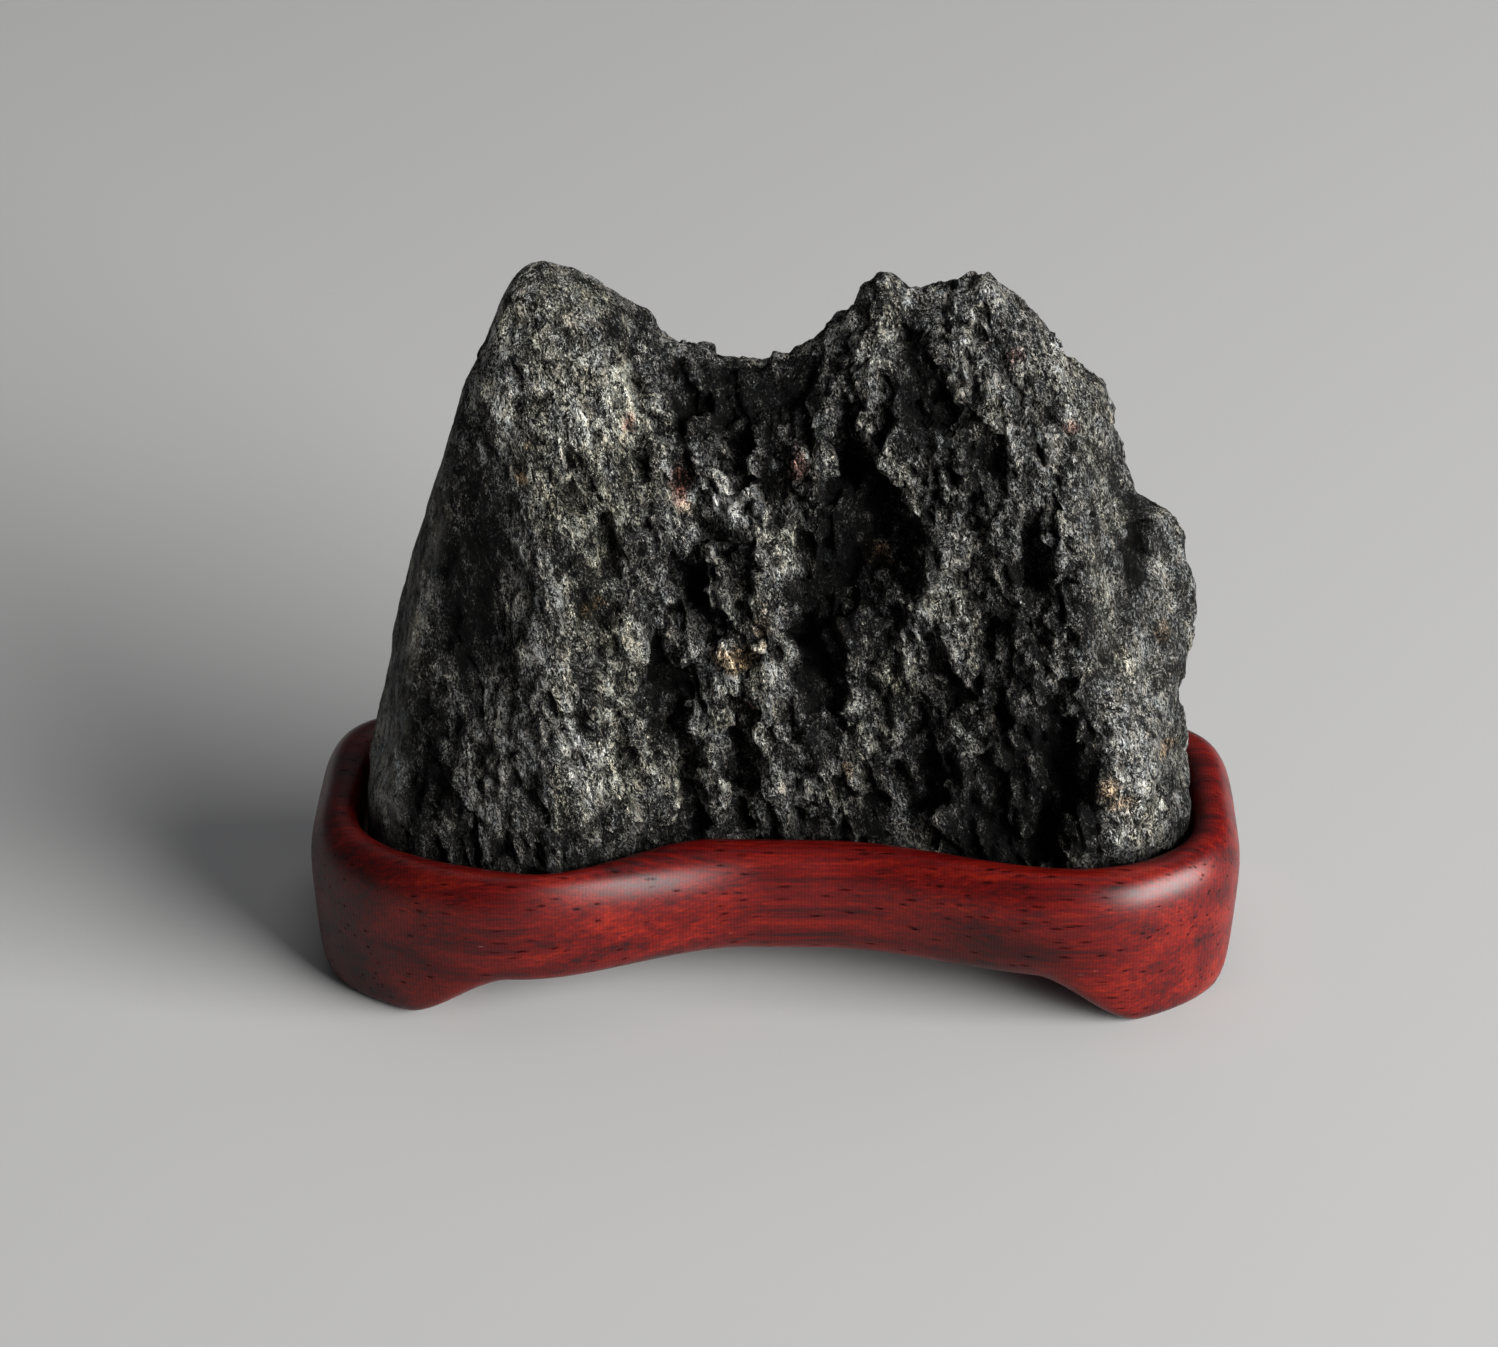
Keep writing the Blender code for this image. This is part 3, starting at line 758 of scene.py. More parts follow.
class MaterialMaker:
    """Puts a node material together, one node at a time."""

    def __init__(self, name: str) -> None:
        """Start a material with the usual shader and its output.

        Args:
            name: The material's name.
        """
        self.material = bpy.data.materials.new(name)
        self.material.use_nodes = True
        self.tree = self.material.node_tree
        self.shader = self.tree.nodes["Principled BSDF"]

    def feed(self, target: Socket, value: Value) -> None:
        """Give a socket what it reads.

        Args:
            target: The socket to feed.
            value: Another socket, a number, or a vector or colour.
        """
        if isinstance(value, bpy.types.NodeSocket):
            self.tree.links.new(value, target)
        elif isinstance(value, (int, float)):
            target.default_value = value
        else:
            target.default_value = (*value, 1.0)[: len(target.default_value)]

    def shade(self, **values: Value) -> None:
        """Feed the shader's own sockets, whose names are given with _ for a space."""
        for name, value in values.items():
            self.feed(self.shader.inputs[name.replace("_", " ")], value)

    def add(self, kind: str, inputs: dict[str | int, Value], **settings: object) -> bpy.types.Node:
        """Add a node.

        Args:
            kind: The node's type, after its usual prefix.
            inputs: What its sockets read, by name or number.
            settings: Its attributes.

        Returns:
            The new node.
        """
        node = self.tree.nodes.new("ShaderNode" + kind)
        for name, value in settings.items():
            setattr(node, name, value)
        for name, value in inputs.items():
            self.feed(node.inputs[name], value)
        return node

    def place(self, scale: Triple = (1, 1, 1), turn: Triple = (0, 0, 0)) -> Socket:
        """Object coordinates in millimetres, turned and then scaled.

        Args:
            scale: How much finer a pattern is along each axis.
            turn: Degrees about X, Y and Z.

        Returns:
            The coordinates' socket.
        """
        spot = self.add("TexCoord", {}).outputs["Object"]
        radians = tuple(math.radians(angle) for angle in turn)
        turned = self.add("Mapping", {"Vector": spot, "Rotation": radians, "Scale": (1 / MM,) * 3})
        return self.add("Mapping", {"Vector": turned.outputs[0], "Scale": scale}).outputs[0]

    def noise(self, where: Socket, grain: Grain) -> Socket:
        """A noise pattern, from 0 to 1."""
        inputs = dict(zip(("Scale", "Detail", "Roughness", "Distortion"), astuple(grain)))
        return self.add("TexNoise", inputs | {"Vector": where}).outputs["Fac"]

    def cells(self, where: Socket, scale: float, value: CellValue = CellValue.DISTANCE) -> Socket:
        """A pattern of cells, so many to the millimetre."""
        return self.add("TexVoronoi", {"Vector": where, "Scale": scale}).outputs[value.value]

    def ramp(self, value: Socket, edges: Sequence[float], colours: Sequence[Colour]) -> Socket:
        """Colours read along a value.

        Args:
            value: What to read.
            edges: The colours' positions from 0 to 1, in order.
            colours: The colours.

        Returns:
            The colour's socket.
        """
        node = self.add("ValToRGB", {"Fac": value})
        elements = node.color_ramp.elements
        while len(elements) < len(edges):
            elements.new(0.5)
        for element, edge, colour in zip(elements, edges, colours):
            element.position = edge
            element.color = (*colour, 1.0)
        return node.outputs["Color"]

    def spread(self, value: Socket, spread: Spread) -> Socket:
        """Stretch the part of a value that spread names."""
        inputs = dict(zip(("From Min", "From Max", "To Min", "To Max"), spread))
        return self.add("MapRange", inputs | {"Value": value}).outputs["Result"]

    def plus(self, first: Socket, second: Value) -> Socket:
        """Two values added up and held between 0 and 1."""
        return self.add("Math", {0: first, 1: second}, operation="ADD", use_clamp=True).outputs[0]

    def times(self, first: Socket, second: Value) -> Socket:
        """Two values multiplied and held between 0 and 1."""
        return self.add("Math", {0: first, 1: second}, operation="MULTIPLY", use_clamp=True).outputs[0]

    def mix(self, share: Value, under: Value, over: Value, way: str = "MIX") -> Socket:
        """Lay one colour over another, as far as share says."""
        colours = {0: share, 6: under, 7: over}
        return self.add("Mix", colours, data_type="RGBA", blend_type=way).outputs[2]

    def tint(self, colour: Socket, by: Value, share: Socket | None = None) -> Socket:
        """A colour multiplied by another, in full or as far as share says."""
        tinted = self.mix(1.0, colour, by, "MULTIPLY")
        return tinted if share is None else self.mix(share, colour, tinted)

    def kept(self, name: str) -> Socket:
        """A value that the piece's mesh keeps at each point."""
        return self.add("Attribute", {}, attribute_name=name).outputs["Fac"]

    def vector(self, operation: str, inputs: dict[str | int, Value]) -> Socket:
        """Arithmetic on vectors."""
        return self.add("VectorMath", inputs, operation=operation).outputs["Vector"]

    def grain_faces(self, where: Socket, scale: float, tilt: Socket) -> Socket:
        """Normals that tilt differently on each small grain.

        Args:
            where: Coordinates that the grains follow.
            scale: How many grains fit in a millimetre.
            tilt: How far they tilt.

        Returns:
            The normals' socket.
        """
        own = self.vector("SUBTRACT", {0: self.cells(where, scale, CellValue.COLOUR), 1: MIDDLE})
        lean = self.vector("SCALE", {0: own, "Scale": tilt})
        normal = self.add("NewGeometry", {}).outputs["Normal"]
        return self.vector("NORMALIZE", {0: self.vector("ADD", {0: normal, 1: lean})})

    def bump(self, height: Socket, depth: float, under: Socket | None = None) -> Socket:
        """Bumps over any bumps under them, to a depth in millimetres."""
        inputs = {"Height": height, "Distance": depth * MM, "Strength": 1.0}
        return self.add("Bump", inputs if under is None else inputs | {"Normal": under}).outputs[0]


@dataclass(frozen=True)
class StoneFinish:
    """Dark granular stone with bright mineral grains and small rust and tan stains."""

    dark: Colour = (0.004, 0.0045, 0.0045)
    grey: Colour = (0.020, 0.0215, 0.022)
    # The light and glint colours are partly the pale grains' own colour and partly painted glints:
    # bright base colour in place of the grains' sparkle in the light.
    light: Colour = (0.19, 0.195, 0.192)
    glint: Colour = (0.75, 0.76, 0.74)
    olive: Colour = (1.12, 1.08, 0.86)
    warm: Colour = (1.09, 1.0, 0.88)
    cool: Colour = (0.95, 0.99, 1.03)
    rust: Colour = (1.15, 0.52, 0.45)
    tan: Colour = (1.75, 1.25, 0.8)
    pale: Colour = (1.9, 1.85, 1.75)
    scale: Triple = (1, 1, 0.48)
    turn: Triple = (0, 11, 0)
    flakes: Grain = Grain(1.1, 6, 0.78, 0.3)
    flake_share: float = 0.44
    wisps: Grain = Grain(3.6, 4, 0.75, 0.5)
    wisp_edges: Triple = (0.36, 0.5, 0.64)
    wisp_share: float = 0.12
    grains: Grain = Grain(8.5, 3, 0.85)
    grain_share: float = 0.44
    sparkle_share: float = 0.12
    sparkle_shift: float = -0.063
    colour_edges: Spread = (0.455, 0.51, 0.555, 0.61)
    drift: Grain = Grain(1.5, 4, 0.8)
    drift_edges: Point = (0.38, 0.62)
    streak_scale: Triple = (1, 1, 0.07)
    streak_turn: Triple = (0, 9, 0)
    streaks: Grain = Grain(2.4, 5, 0.7)
    streak_edges: Point = (0.38, 0.62)
    streak_depth: float = 0.10
    worn_share: float = 0.7
    recess_shade_spread: Spread = (0, 1, 1, 0.25)
    gloss: Spread = (0.46, 0.58, 0.8, 0.3)
    lustre: Spread = (0.46, 0.57, 0, 0.3)
    specular: float = 0.09
    face_scale: float = 4.5
    face_tilt: float = 0.55
    satin_calm: Spread = (0, 1, 1, 0.2)
    grain_depth: float = 3.2

    def material(self) -> bpy.types.Material:
        """Make the stone's material.

        Returns:
            The material.
        """
        maker = MaterialMaker("Dark granular stone")
        upright = maker.place(self.scale, self.turn)
        wisps = maker.noise(upright, self.wisps)
        wisps = maker.ramp(wisps, self.wisp_edges, (BLACK, WHITE, BLACK))
        height = maker.times(maker.noise(upright, self.flakes), self.flake_share)
        height = maker.plus(height, maker.times(wisps, self.wisp_share))
        grains = maker.noise(upright, self.grains)
        height = maker.plus(height, maker.times(grains, self.grain_share))
        # The kept sparkle, partly random and partly painted shade and light, moves the colour towards
        # the light and glint colours.
        seen = maker.plus(height, maker.times(maker.kept("sparkle"), self.sparkle_share))
        seen = maker.plus(seen, self.sparkle_shift)
        colour = maker.ramp(seen, self.colour_edges, (self.dark, self.grey, self.light, self.glint))
        satin = maker.kept("satin")
        streaks = maker.noise(maker.place(self.streak_scale, self.streak_turn), self.streaks)
        worn = maker.ramp(streaks, self.streak_edges, (self.grey, self.light))
        colour = maker.mix(maker.times(satin, self.worn_share), colour, worn)
        drift = maker.ramp(maker.noise(upright, self.drift), self.drift_edges, (self.cool, self.warm))
        colour = maker.tint(colour, drift)
        tints = {"olive": self.olive, "rust": self.rust, "tan": self.tan, "pale": self.pale}
        for name, tint in tints.items():
            colour = maker.tint(colour, tint, maker.kept(name))
        # Painted shade: darker in the grooves and dips, then darker or lighter by the kept tone, which
        # holds painted shade and light besides random tone.
        colour = maker.tint(colour, maker.spread(maker.kept("cavity"), self.recess_shade_spread))
        colour = maker.tint(colour, maker.kept("tone"))
        tilt = maker.times(maker.spread(satin, self.satin_calm), self.face_tilt)
        normal = maker.grain_faces(upright, self.face_scale, tilt)
        normal = maker.bump(height, self.grain_depth, normal)
        normal = maker.bump(maker.times(streaks, satin), self.streak_depth, normal)
        maker.shade(
            Base_Color=colour, Roughness=maker.spread(seen, self.gloss), Normal=normal,
            Metallic=maker.spread(seen, self.lustre), Specular_IOR_Level=self.specular,
        )
        return maker.material


def to_mesh(shape: bmesh.types.BMesh, name: str) -> bpy.types.Object:
    """Turn a shape in millimetres into a named object in metres.

    Args:
        shape: The shape, which is used up.
        name: The object's name.

    Returns:
        The new object, at the origin.
    """
    bmesh.ops.scale(shape, vec=(MM, MM, MM), verts=shape.verts)
    bmesh.ops.recalc_face_normals(shape, faces=shape.faces)
    mesh = bpy.data.meshes.new(name)
    shape.to_mesh(mesh)
    shape.free()
    mesh.shade_smooth()
    thing = bpy.data.objects.new(name, mesh)
    bpy.context.scene.collection.objects.link(thing)
    return thing


def keep(thing: bpy.types.Object, name: str, values: Array) -> None:
    """Keep a value at each point of a piece's mesh, for its material to read."""
    kept = thing.data.attributes.new(name=name, type="FLOAT", domain="POINT")
    kept.data.foreach_set("value", np.asarray(values, np.float32))


@dataclass
class Stone:
    """The stone: one block laid onto its outlines and then cut with its relief."""

    shape: StoneShape = field(default_factory=StoneShape)
    finish: StoneFinish = field(default_factory=StoneFinish)
    cells: tuple[int, int, int] = (196, 54, 150)
    wobble: Lumps = Lumps((0.5, 0.5, 0.7), 0.7, 2)
    wobble_height: float = 0.45
    patches: Lumps = Lumps((3, 3, 6), 0.7, 3, 0.2)
    columns: Lumps = Lumps((1.7, 1.7, 6), 0.7, 3, 0.2)
    stain_edge: Point = (0.55, 1.35)
    shade_edge: Point = (0.3, 1.4)
    buttress: Ease = Ease(5, 9)
    foot_shade: Ease = Ease(9.6, 12.2, 0.25, 1)
    shade_depth: float = 0.6

    def block(self) -> bmesh.types.BMesh:
        """Make a block from -1 to 1 across and deep and from 0 to 1 high, in even cells.

        Returns:
            The block, with one face for its bottom.
        """
        shape = bmesh.new()
        bmesh.ops.create_cube(shape, size=2.0)
        for axis, count in enumerate(self.cells):
            along = [
                edge for edge in shape.edges if edge.verts[0].co[axis] * edge.verts[1].co[axis] < 0
            ]
            bmesh.ops.subdivide_edges(shape, edges=along, cuts=count - 1, use_grid_fill=True)
        for vert in shape.verts:
            vert.co.z = 0.5 * (vert.co.z + 1)
        bottom = [face for face in shape.faces if all(vert.co.z < TINY for vert in face.verts)]
        bmesh.ops.dissolve_faces(shape, faces=bottom, use_verts=True)
        return shape

    def move(self, shape: bmesh.types.BMesh, places: Array) -> Array:
        """Move a shape's points.

        Args:
            shape: The shape.
            places: Where its points go.

        Returns:
            The points' new normals.
        """
        for vert, place in zip(shape.verts, places.tolist()):
            vert.co = place
        shape.normal_update()
        return np.array([vert.normal[:] for vert in shape.verts])

    def stains_and_painted_light(self, marks: Sequence[Stain], places: Array, push: Array, soft: Point) -> Array:
        """How strongly a set of stains, painted shade patches or painted light patches shows at each
        place on the front.

        Args:
            marks: The stains, the painted shade patches or the painted light patches.
            places: Points on the stone.
            push: How far each place's edge is pushed in or out.
            soft: Where a stain starts to fade and where it ends, in its own half widths.

        Returns:
            The strength at each place.
        """
        x, y, z = places.T
        total = np.zeros(len(places))
        for mark in marks:
            total = np.maximum(total, mark.shown(x, z, soft, push))
        return total * (y < 0)

    def colour(self, layers: dict[str, Array], places: Array, normals: Array) -> dict[str, Array]:
        """What the stone's finish reads.

        Args:
            layers: The relief's layers at each point.
            places: Points on the broad form.
            normals: The form's normals there.

        Returns:
            The finish's values at each point, by name.
        """
        wobble = self.wobble_height * self.wobble.at(places)
        layers |= {"wobble": wobble, "patches": self.patches.at(places)}
        edges = add_up(layers, patches=0.35, wobble=0.5)
        # The shade and light layers are painted shade and painted light, read from the patch tables
        # above.
        layers["shade"] = self.stains_and_painted_light(PAINTED_SHADE_PATCHES, places, edges, self.shade_edge)
        layers["light"] = self.stains_and_painted_light(PAINTED_LIGHT_PATCHES, places, edges, self.shade_edge)
        front = normals[:, 1] < 0
        layers["buttress"] = self.buttress.at(-places[:, 0]) * (1 - layers["left"]) * front
        layers["columns"] = self.columns.at(places)
        # Painted shade and light from the relief: the recess shade darkens the colour and dims the
        # grains in the grooves and dips, and the ridge value brightens the grains on what stands out,
        # as painted light.
        layers["cavity"] = held(add_up(layers, broad=-0.22, dips=-0.9))
        layers["ridge"] = held(add_up(layers, broad=0.5, dips=0.7))
        # Tone multiplies the colour: the patches are random tone; the darker left face and the darker
        # foot are painted shade where less light falls; the shade and light layers are painted shade
        # and painted light.
        tone = add_up(layers, 1.2, patches=0.2, strip=0.3, left=-0.4, buttress=-0.15)
        tone *= self.foot_shade.at(places[:, 2])
        # Sparkle sets how many bright grains show: random columns, with painted shade from the shade
        # patches and recesses and painted light from the light patches and ridges.
        sparkle = add_up(
            layers, 0.56, columns=0.3, shade=-0.6, light=0.3, cavity=-0.45, ridge=0.15
        )
        return {
            "cavity": layers["cavity"],
            "tone": tone * (1 - self.shade_depth * layers["shade"]) * (1 + layers["light"]),
            "sparkle": held(sparkle),
            "olive": held(add_up(layers, buttress=0.25, patches=0.5)),
            "satin": held(add_up(layers, strip=1, left=0.12, right=0.15)),
            "rust": self.stains_and_painted_light(RUST_STAINS, places, wobble, self.stain_edge),
            "tan": self.stains_and_painted_light(TAN_STAINS, places, wobble, self.stain_edge),
            "pale": self.stains_and_painted_light(PALE_STAINS, places, wobble, self.stain_edge),
        }

    def build(self) -> bpy.types.Object:
        """Model the stone and keep what its finish reads.

        Returns:
            The stone.
        """
        shape = self.block()
        relief = StoneRelief(self.shape)
        places = self.shape.cut_facets(self.shape.lay(np.array([v.co[:] for v in shape.verts])))
        normals = self.move(shape, places)
        places = places + normals * relief.broad(places, normals)[:, None]
        normals = self.move(shape, places)
        lift, dips = relief.fine(places, normals)
        layers = {
            "dips": dips,
            "broad": relief.strokes(MAIN_STROKES, places, normals),
            "strip": relief.strip(places),
            "left": relief.left_face(places),
            "right": relief.smooth_right(places, normals),
        }
        self.move(shape, places + normals * lift[:, None])
        thing = to_mesh(shape, "stone_surface")
        for name, values in self.colour(layers, places, normals).items():
            keep(thing, name, values)
        return thing

    def dress(self, thing: bpy.types.Object) -> None:
        """Give the stone its finish and stand it in for its solid.

        Args:
            thing: The stone.
        """
        thing.data.materials.append(self.finish.material())
        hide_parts("stone")
        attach(thing, "root")


@dataclass(frozen=True)
class Dashes:
    """Short dashes along the grain, gathered in loose groups.

    stretch is how much coarser they are along the grain, fineness how many fit in a millimetre
    across it, reach how far one reaches from its middle and rarity how much stays empty.
    """

    stretch: float
    fineness: float
    reach: float
    rarity: float
    fray: float = 0.2
    ragged: Grain = Grain(3, 3, 0.8)
    ragged_share: float = 0.5
    groups: Grain = Grain(0.5, 2, 0.5)
    group_spread: Spread = (0.35, 0.65, -0.3, 0.3)
    onset: float = 0.03

    def pattern(self, maker: MaterialMaker, turn: Triple) -> Socket:
        """Lay the dashes out.

        Args:
            maker: The material they are for.
            turn: The grain's turn in degrees.

        Returns:
            A socket that is 1 on a dash and 0 elsewhere.
        """
        where = maker.place((self.stretch, 1, 1), turn)
        ragged = replace(self.ragged, scale=self.ragged.scale * self.fineness)
        ragged = maker.times(maker.noise(where, ragged), self.ragged_share)
        away = maker.plus(maker.cells(where, self.fineness), ragged)
        edge = (self.fray + self.fray * self.reach, self.fray + self.reach, 1, 0)
        chance = maker.cells(where, self.fineness, CellValue.COLOUR)
        group = maker.spread(maker.noise(where, self.groups), self.group_spread)
        chance = maker.spread(maker.plus(chance, group), (self.rarity, self.rarity + self.onset, 0, 1))
        return maker.times(maker.spread(away, edge), chance)


@dataclass(frozen=True)
class WoodFinish:
    """Deep red hardwood, oiled to a satin shine, with dark streaks, pores and fine ripples."""

    maroon: Colour = (0.016, 0.0006, 0.0008)
    red: Colour = (0.108, 0.0016, 0.001)
    orange: Colour = (0.235, 0.011, 0.0035)
    pore: Colour = (0.004, 0.001, 0.001)
    scratch: Colour = (0.42, 0.20, 0.16)
    turn: Triple = (0, 1, 1.5)
    scale: Triple = (0.022, 1, 1)
    bands: Grain = Grain(0.6, 3, 0.5, 0.2)
    lines: Grain = Grain(4.2, 4, 0.7, 0.1)
    line_share: float = 0.5
    tone_edges: Triple = (0.36, 0.5, 0.66)
    fibre_scale: Triple = (0.3, 1, 1)
    fibres: Grain = Grain(6.5, 3, 0.8)
    fibre_shade: Spread = (0.42, 0.58, 0.4, 0)
    pores: Dashes = Dashes(0.2, 2.2, 0.33, 0.26)
    pore_share: float = 0.9
    scratches: Dashes = Dashes(0.10, 2.5, 0.09, 0.62)
    scratch_share: float = 0.5
    gloss: Spread = (0.35, 0.65, 0.28, 0.42)
    oil: float = 0.7
    oil_roughness: float = 0.37
    ripple_oil: Spread = (0, 1, 1, 0.85)
    line_oil: Spread = (0.35, 0.65, 1, 0.8)
    bare_specular: float = 0.03
    ripple_depth: float = 0.0012
    line_depth: float = 0.02
    pore_depth: float = 0.03
    ripple_shade: Spread = (0, 1, 0, 0.17)
    ripple_pitch: float = 0.205
    ripple_twist: float = 2.2
    ripple_detail: float = 2
    ripple_detail_scale: float = 0.5
    wave_turn: float = 20

    def material(self) -> bpy.types.Material:
        """Make the wood's material.

        Returns:
            The material.
        """
        maker = MaterialMaker("Red hardwood satin")
        along = maker.place(self.scale, self.turn)
        lines = maker.noise(along, self.lines)
        tone = maker.times(maker.noise(along, self.bands), 1 - self.line_share)
        tone = maker.plus(tone, maker.times(lines, self.line_share))
        colour = maker.ramp(tone, self.tone_edges, (self.maroon, self.red, self.orange))
        fibres = maker.noise(maker.place(self.fibre_scale, self.turn), self.fibres)
        ripples = self.ripples(maker)
        for pattern, shade in ((fibres, self.fibre_shade), (ripples, self.ripple_shade)):
            colour = maker.mix(maker.spread(pattern, shade), colour, self.maroon)
        # The kept depth holds painted shade towards the left end and a real dark streak.
        colour = maker.tint(colour, maker.kept("depth"))
        pores = self.pores.pattern(maker, self.turn)
        colour = maker.mix(maker.times(pores, self.pore_share), colour, self.pore)
        scratches = self.scratches.pattern(maker, self.turn)
        colour = maker.mix(maker.times(scratches, self.scratch_share), colour, self.scratch)
        bare = maker.spread(pores, FALLING)
        normal = maker.bump(ripples, self.ripple_depth)
        normal = maker.bump(lines, self.line_depth, normal)
        normal = maker.bump(bare, self.pore_depth, normal)
        oil = maker.times(bare, self.oil)
        for pattern, share in ((ripples, self.ripple_oil), (lines, self.line_oil)):
            oil = maker.times(oil, maker.spread(pattern, share))
        maker.shade(
            Base_Color=colour, Roughness=maker.spread(lines, self.gloss), Normal=normal,
            Coat_Weight=oil, Coat_Roughness=self.oil_roughness, Specular_IOR_Level=self.bare_specular,
        )
        return maker.material

    def ripples(self, maker: MaterialMaker) -> Socket:
        """Fine ripples across the grain.

        Args:
            maker: The material they are for.

        Returns:
            The ripples' socket.
        """
        inputs = {
            "Vector": maker.place(),
            "Scale": 2 * math.pi / self.ripple_pitch / self.wave_turn,
            "Distortion": self.ripple_twist,
            "Detail": self.ripple_detail,
            "Detail Scale": self.ripple_detail_scale,
        }
        return maker.add("TexWave", inputs, wave_type="BANDS", bands_direction="X").outputs["Fac"]


@dataclass
class Stand:
    """The stand: one block with a rounded rim round a sunk seat, and four short feet."""

    foot: Foot = field(default_factory=Foot)
    finish: WoodFinish = field(default_factory=WoodFinish)
    clearance: float = 3.3
    rim_outset: float = 1.6
    rim_height: float = 10.3
    seat_floor: float = 7
    seat_corner: float = 0.1
    underside_inset: float = -0.6
    underside_steps: tuple[float, ...] = (0, 0.2, 0.4, 0.52, 0.62, 0.72, 0.81, 0.9)
    seat_steps: tuple[float, ...] = (1, 0.7, 0.35, 0)
    ring_middle: float = 3
    foot_across: Point = (15.9, 21.3)
    foot_along: Point = (2.2, 5.6)
    # Painted shade: the wood darkens towards its left end, which gets less of the light.
    painted_left_end_shade: Ease = Ease(-25, -5, 0.62, 1)
    dark_streak: Stain = Stain("dark streak", 13.5, 5.4, 6, 2, 0.6)
    streak_edge: Point = (0.2, 1.3)
    segments: int = 420
    rings_between: int = 3
    outline_samples: int = 6001

    def profile(self) -> Array:
        """The stand's rings, from the middle of the underside out, up, over the rim and in.

        Returns:
            One row for each ring: its outset and height between the feet, its outset and height
            at a foot, and how far it is shrunk towards the middle.
        """
        inset, clear = self.underside_inset, self.clearance
        corner, floor = self.seat_corner, self.seat_floor
        under = [(inset, clear, inset, 0, scale) for scale in self.underside_steps]
        wall = [
            (inset, clear, -0.4, 0, 1),
            (0.6, clear, 2.1, 0, 1),
            (1.5, 3.2, 2.8, 0.35, 1),
            (2.3, 3.4, 3.1, 1.2, 1),
            (2.85, 4.2, 3.2, 2.3, 1),
            (3.15, 5.6, 3.25, 4.5, 1),
            (3.25, 7.2, 3.25, 6.9, 1),
        ]
        rim = [
            (3.05, 8.6), (2.45, 9.8), (self.rim_outset, self.rim_height), (0.75, 10.15),
            (0.32, 9.5), (0.25, 8),
        ]
        seat = [(corner, floor, corner, floor, scale) for scale in self.seat_steps]
        knots = np.array(under + wall + [(*spot, *spot, 1) for spot in rim] + seat)
        steps = np.linspace(0, len(knots) - 1, (len(knots) - 1) * (self.rings_between + 1) + 1)
        return np.column_stack(
            [through(list(enumerate(column.tolist())), steps) for column in knots.T]
        )

    def even_angles(self) -> Array:
        """Find angles whose points are evenly spaced along the rim.

        Returns:
            One angle for each segment, in radians.
        """
        fine = np.linspace(0.0, 2 * math.pi, self.outline_samples)
        x, y = self.foot.outline(fine, np.full(fine.shape, self.rim_outset))
        walked = np.concatenate([[0.0], np.cumsum(np.hypot(np.diff(x), np.diff(y)))])
        return np.interp(np.linspace(0.0, walked[-1], self.segments + 1)[:-1], walked, fine)

    def lay(self, rows: Array, angles: Array) -> Array:
        """Where the stand's surface crosses rings at angles.

        Args:
            rows: One ring for each point.
            angles: One direction for each point.

        Returns:
            The points.
        """
        outset, height, foot_outset, foot_height, scale = rows.T
        x, y = self.foot.outline(angles, outset)
        y_in = blend(self.ring_middle, y, scale)
        share = smooth_step(np.abs(x * scale), *self.foot_across)
        share = share * smooth_step(np.abs(y_in), *self.foot_along)
        x, y = self.foot.outline(angles, blend(outset, foot_outset, share))
        y = blend(self.ring_middle, y, scale)
        return np.column_stack([x * scale, y, blend(height, foot_height, share)])

    def build(self) -> bpy.types.Object:
        """Model the stand: a sphere's rings of points laid onto the stand's rings.

        Returns:
            The stand.
        """
        profile, angles = self.profile(), self.even_angles()
        last = len(profile) - 1
        shape = bmesh.new()
        bmesh.ops.create_uvsphere(shape, u_segments=self.segments, v_segments=last, radius=1.0)
        ball = np.array([vert.co[:] for vert in shape.verts])
        level = np.rint((0.5 + np.arcsin(np.clip(ball[:, 2], -1.0, 1.0)) / math.pi) * last)
        turn = np.rint(np.arctan2(ball[:, 1], ball[:, 0]) / (2 * math.pi) * self.segments)
        places = self.lay(profile[level.astype(int)], angles[turn.astype(int) % self.segments])
        for vert, place in zip(shape.verts, places.tolist()):
            vert.co = place
        thing = to_mesh(shape, "stand_surface")
        # The kept depth darkens the wood: painted shade towards the left end, times the real dark
        # streak.
        x, _, z = places.T
        deeper = self.dark_streak.shown(x, z, self.streak_edge)
        keep(thing, "depth", self.painted_left_end_shade.at(x) * (1 - deeper))
        return thing

    def dress(self, thing: bpy.types.Object) -> None:
        """Give the stand its finish and stand it in for its solid.

        Args:
            thing: The stand.
        """
        thing.data.materials.append(self.finish.material())
        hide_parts("stand")
        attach(thing, "root")


def put(data: bpy.types.Light | bpy.types.Camera, place: Vector, aim: Vector) -> bpy.types.Object:
    """Put a light or a camera in place.

    Args:
        data: The light or the camera.
        place: Where it goes, in metres.
        aim: The direction it faces.

    Returns:
        Its object.
    """
    thing = bpy.data.objects.new(data.name, data)
    thing.location = place
    thing.rotation_euler = aim.to_track_quat("-Z", "Y").to_euler()
    bpy.context.scene.collection.objects.link(thing)
    return thing


@dataclass(frozen=True)
class Lamp:
    """A soft oblong light: its place and sides in millimetres, its watts and its colour."""

    name: str
    place: Triple
    width: float
    height: float
    power: float
    colour: Colour = WHITE

    def hang(self, target: Vector) -> None:
        """Hang the light so that it faces a target.

        Args:
            target: Where it faces, in metres.
        """
        light = bpy.data.lights.new(self.name, "AREA")
        light.shape = "RECTANGLE"
        light.size = self.width * MM
        light.size_y = self.height * MM
        light.energy = self.power
        light.color = self.colour
        place = Vector(self.place) * MM
        put(light, place, target - place)


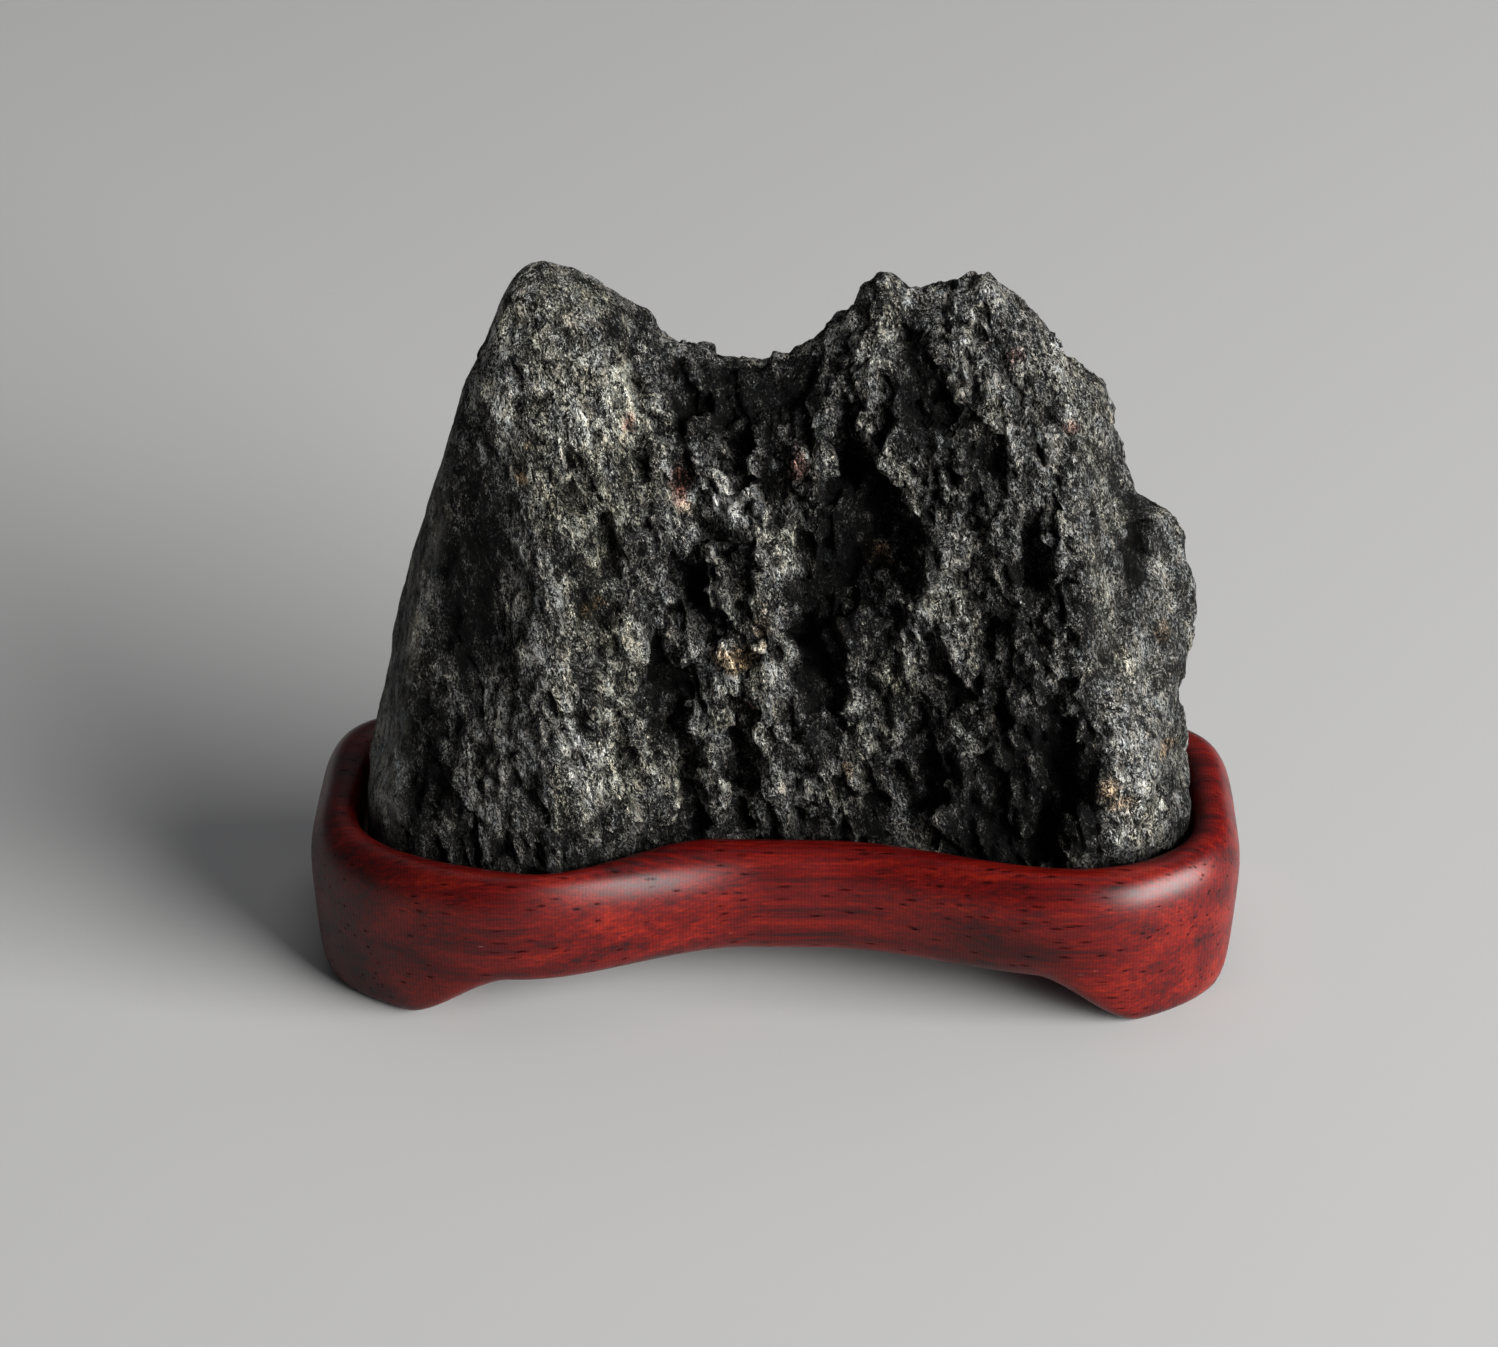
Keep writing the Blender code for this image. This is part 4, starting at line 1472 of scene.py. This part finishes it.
@dataclass
class Studio:
    """A plain pale floor, soft lights and the camera."""

    floor_half_side: float = 3000
    floor_colour: Colour = (0.45, 0.45, 0.45)
    floor_roughness: float = 0.9
    floor_specular: float = 0.1
    sky: Colour = (0.9, 0.93, 1.0)
    sky_strength: float = 0.08
    window: Lamp = Lamp("Window", (700, -400, 290), 760, 460, 24, (1.0, 0.99, 0.97))
    ceiling: Lamp = Lamp("Ceiling", (60, 250, 700), 500, 500, 0.8)
    target: Triple = (-1.6, -1.55, 19.5)
    elevation: float = 29
    azimuth: float = 1.3
    distance: float = 273
    lens: float = 108.14
    sensor: float = 36
    clip: Point = (0.01, 20)

    def floor(self) -> None:
        """Lay the floor."""
        shape = bmesh.new()
        bmesh.ops.create_grid(shape, x_segments=1, y_segments=1, size=self.floor_half_side)
        thing = to_mesh(shape, "floor")
        maker = MaterialMaker("Pale floor")
        maker.shade(
            Base_Color=self.floor_colour, Roughness=self.floor_roughness,
            Specular_IOR_Level=self.floor_specular,
        )
        thing.data.materials.append(maker.material)

    def sky_light(self) -> None:
        """Fill the room with even light."""
        world = bpy.data.worlds.new("Soft room")
        world.use_nodes = True
        backdrop = world.node_tree.nodes["Background"]
        backdrop.inputs["Color"].default_value = (*self.sky, 1.0)
        backdrop.inputs["Strength"].default_value = self.sky_strength
        bpy.context.scene.world = world

    def camera(self) -> None:
        """Set up the camera."""
        lens = bpy.data.cameras.new("Camera")
        lens.lens = self.lens
        lens.sensor_width = self.sensor
        lens.clip_start, lens.clip_end = self.clip
        turn, rise = math.radians(self.azimuth), math.radians(self.elevation)
        back = Vector(
            (math.sin(turn) * math.cos(rise), -math.cos(turn) * math.cos(rise), math.sin(rise))
        )
        place = (Vector(self.target) + back * self.distance) * MM
        bpy.context.scene.camera = put(lens, place, -back)

    def build(self) -> None:
        """Put the floor, the lights and the camera in place."""
        self.floor()
        self.sky_light()
        for lamp in (self.window, self.ceiling):
            lamp.hang(Vector(self.target) * MM)
        self.camera()
        bpy.context.scene.view_settings.view_transform = "Standard"


def main() -> None:
    """Build and dress each piece and set up the studio."""
    logging.basicConfig(level=logging.INFO, format="%(name)s: %(message)s")
    for piece in (Stone(), Stand()):
        thing = piece.build()
        piece.dress(thing)
        log.info("%s: %d faces", thing.name, len(thing.data.polygons))
    Studio().build()
    log.info("studio ready")


if __name__ == "__main__":
    main()
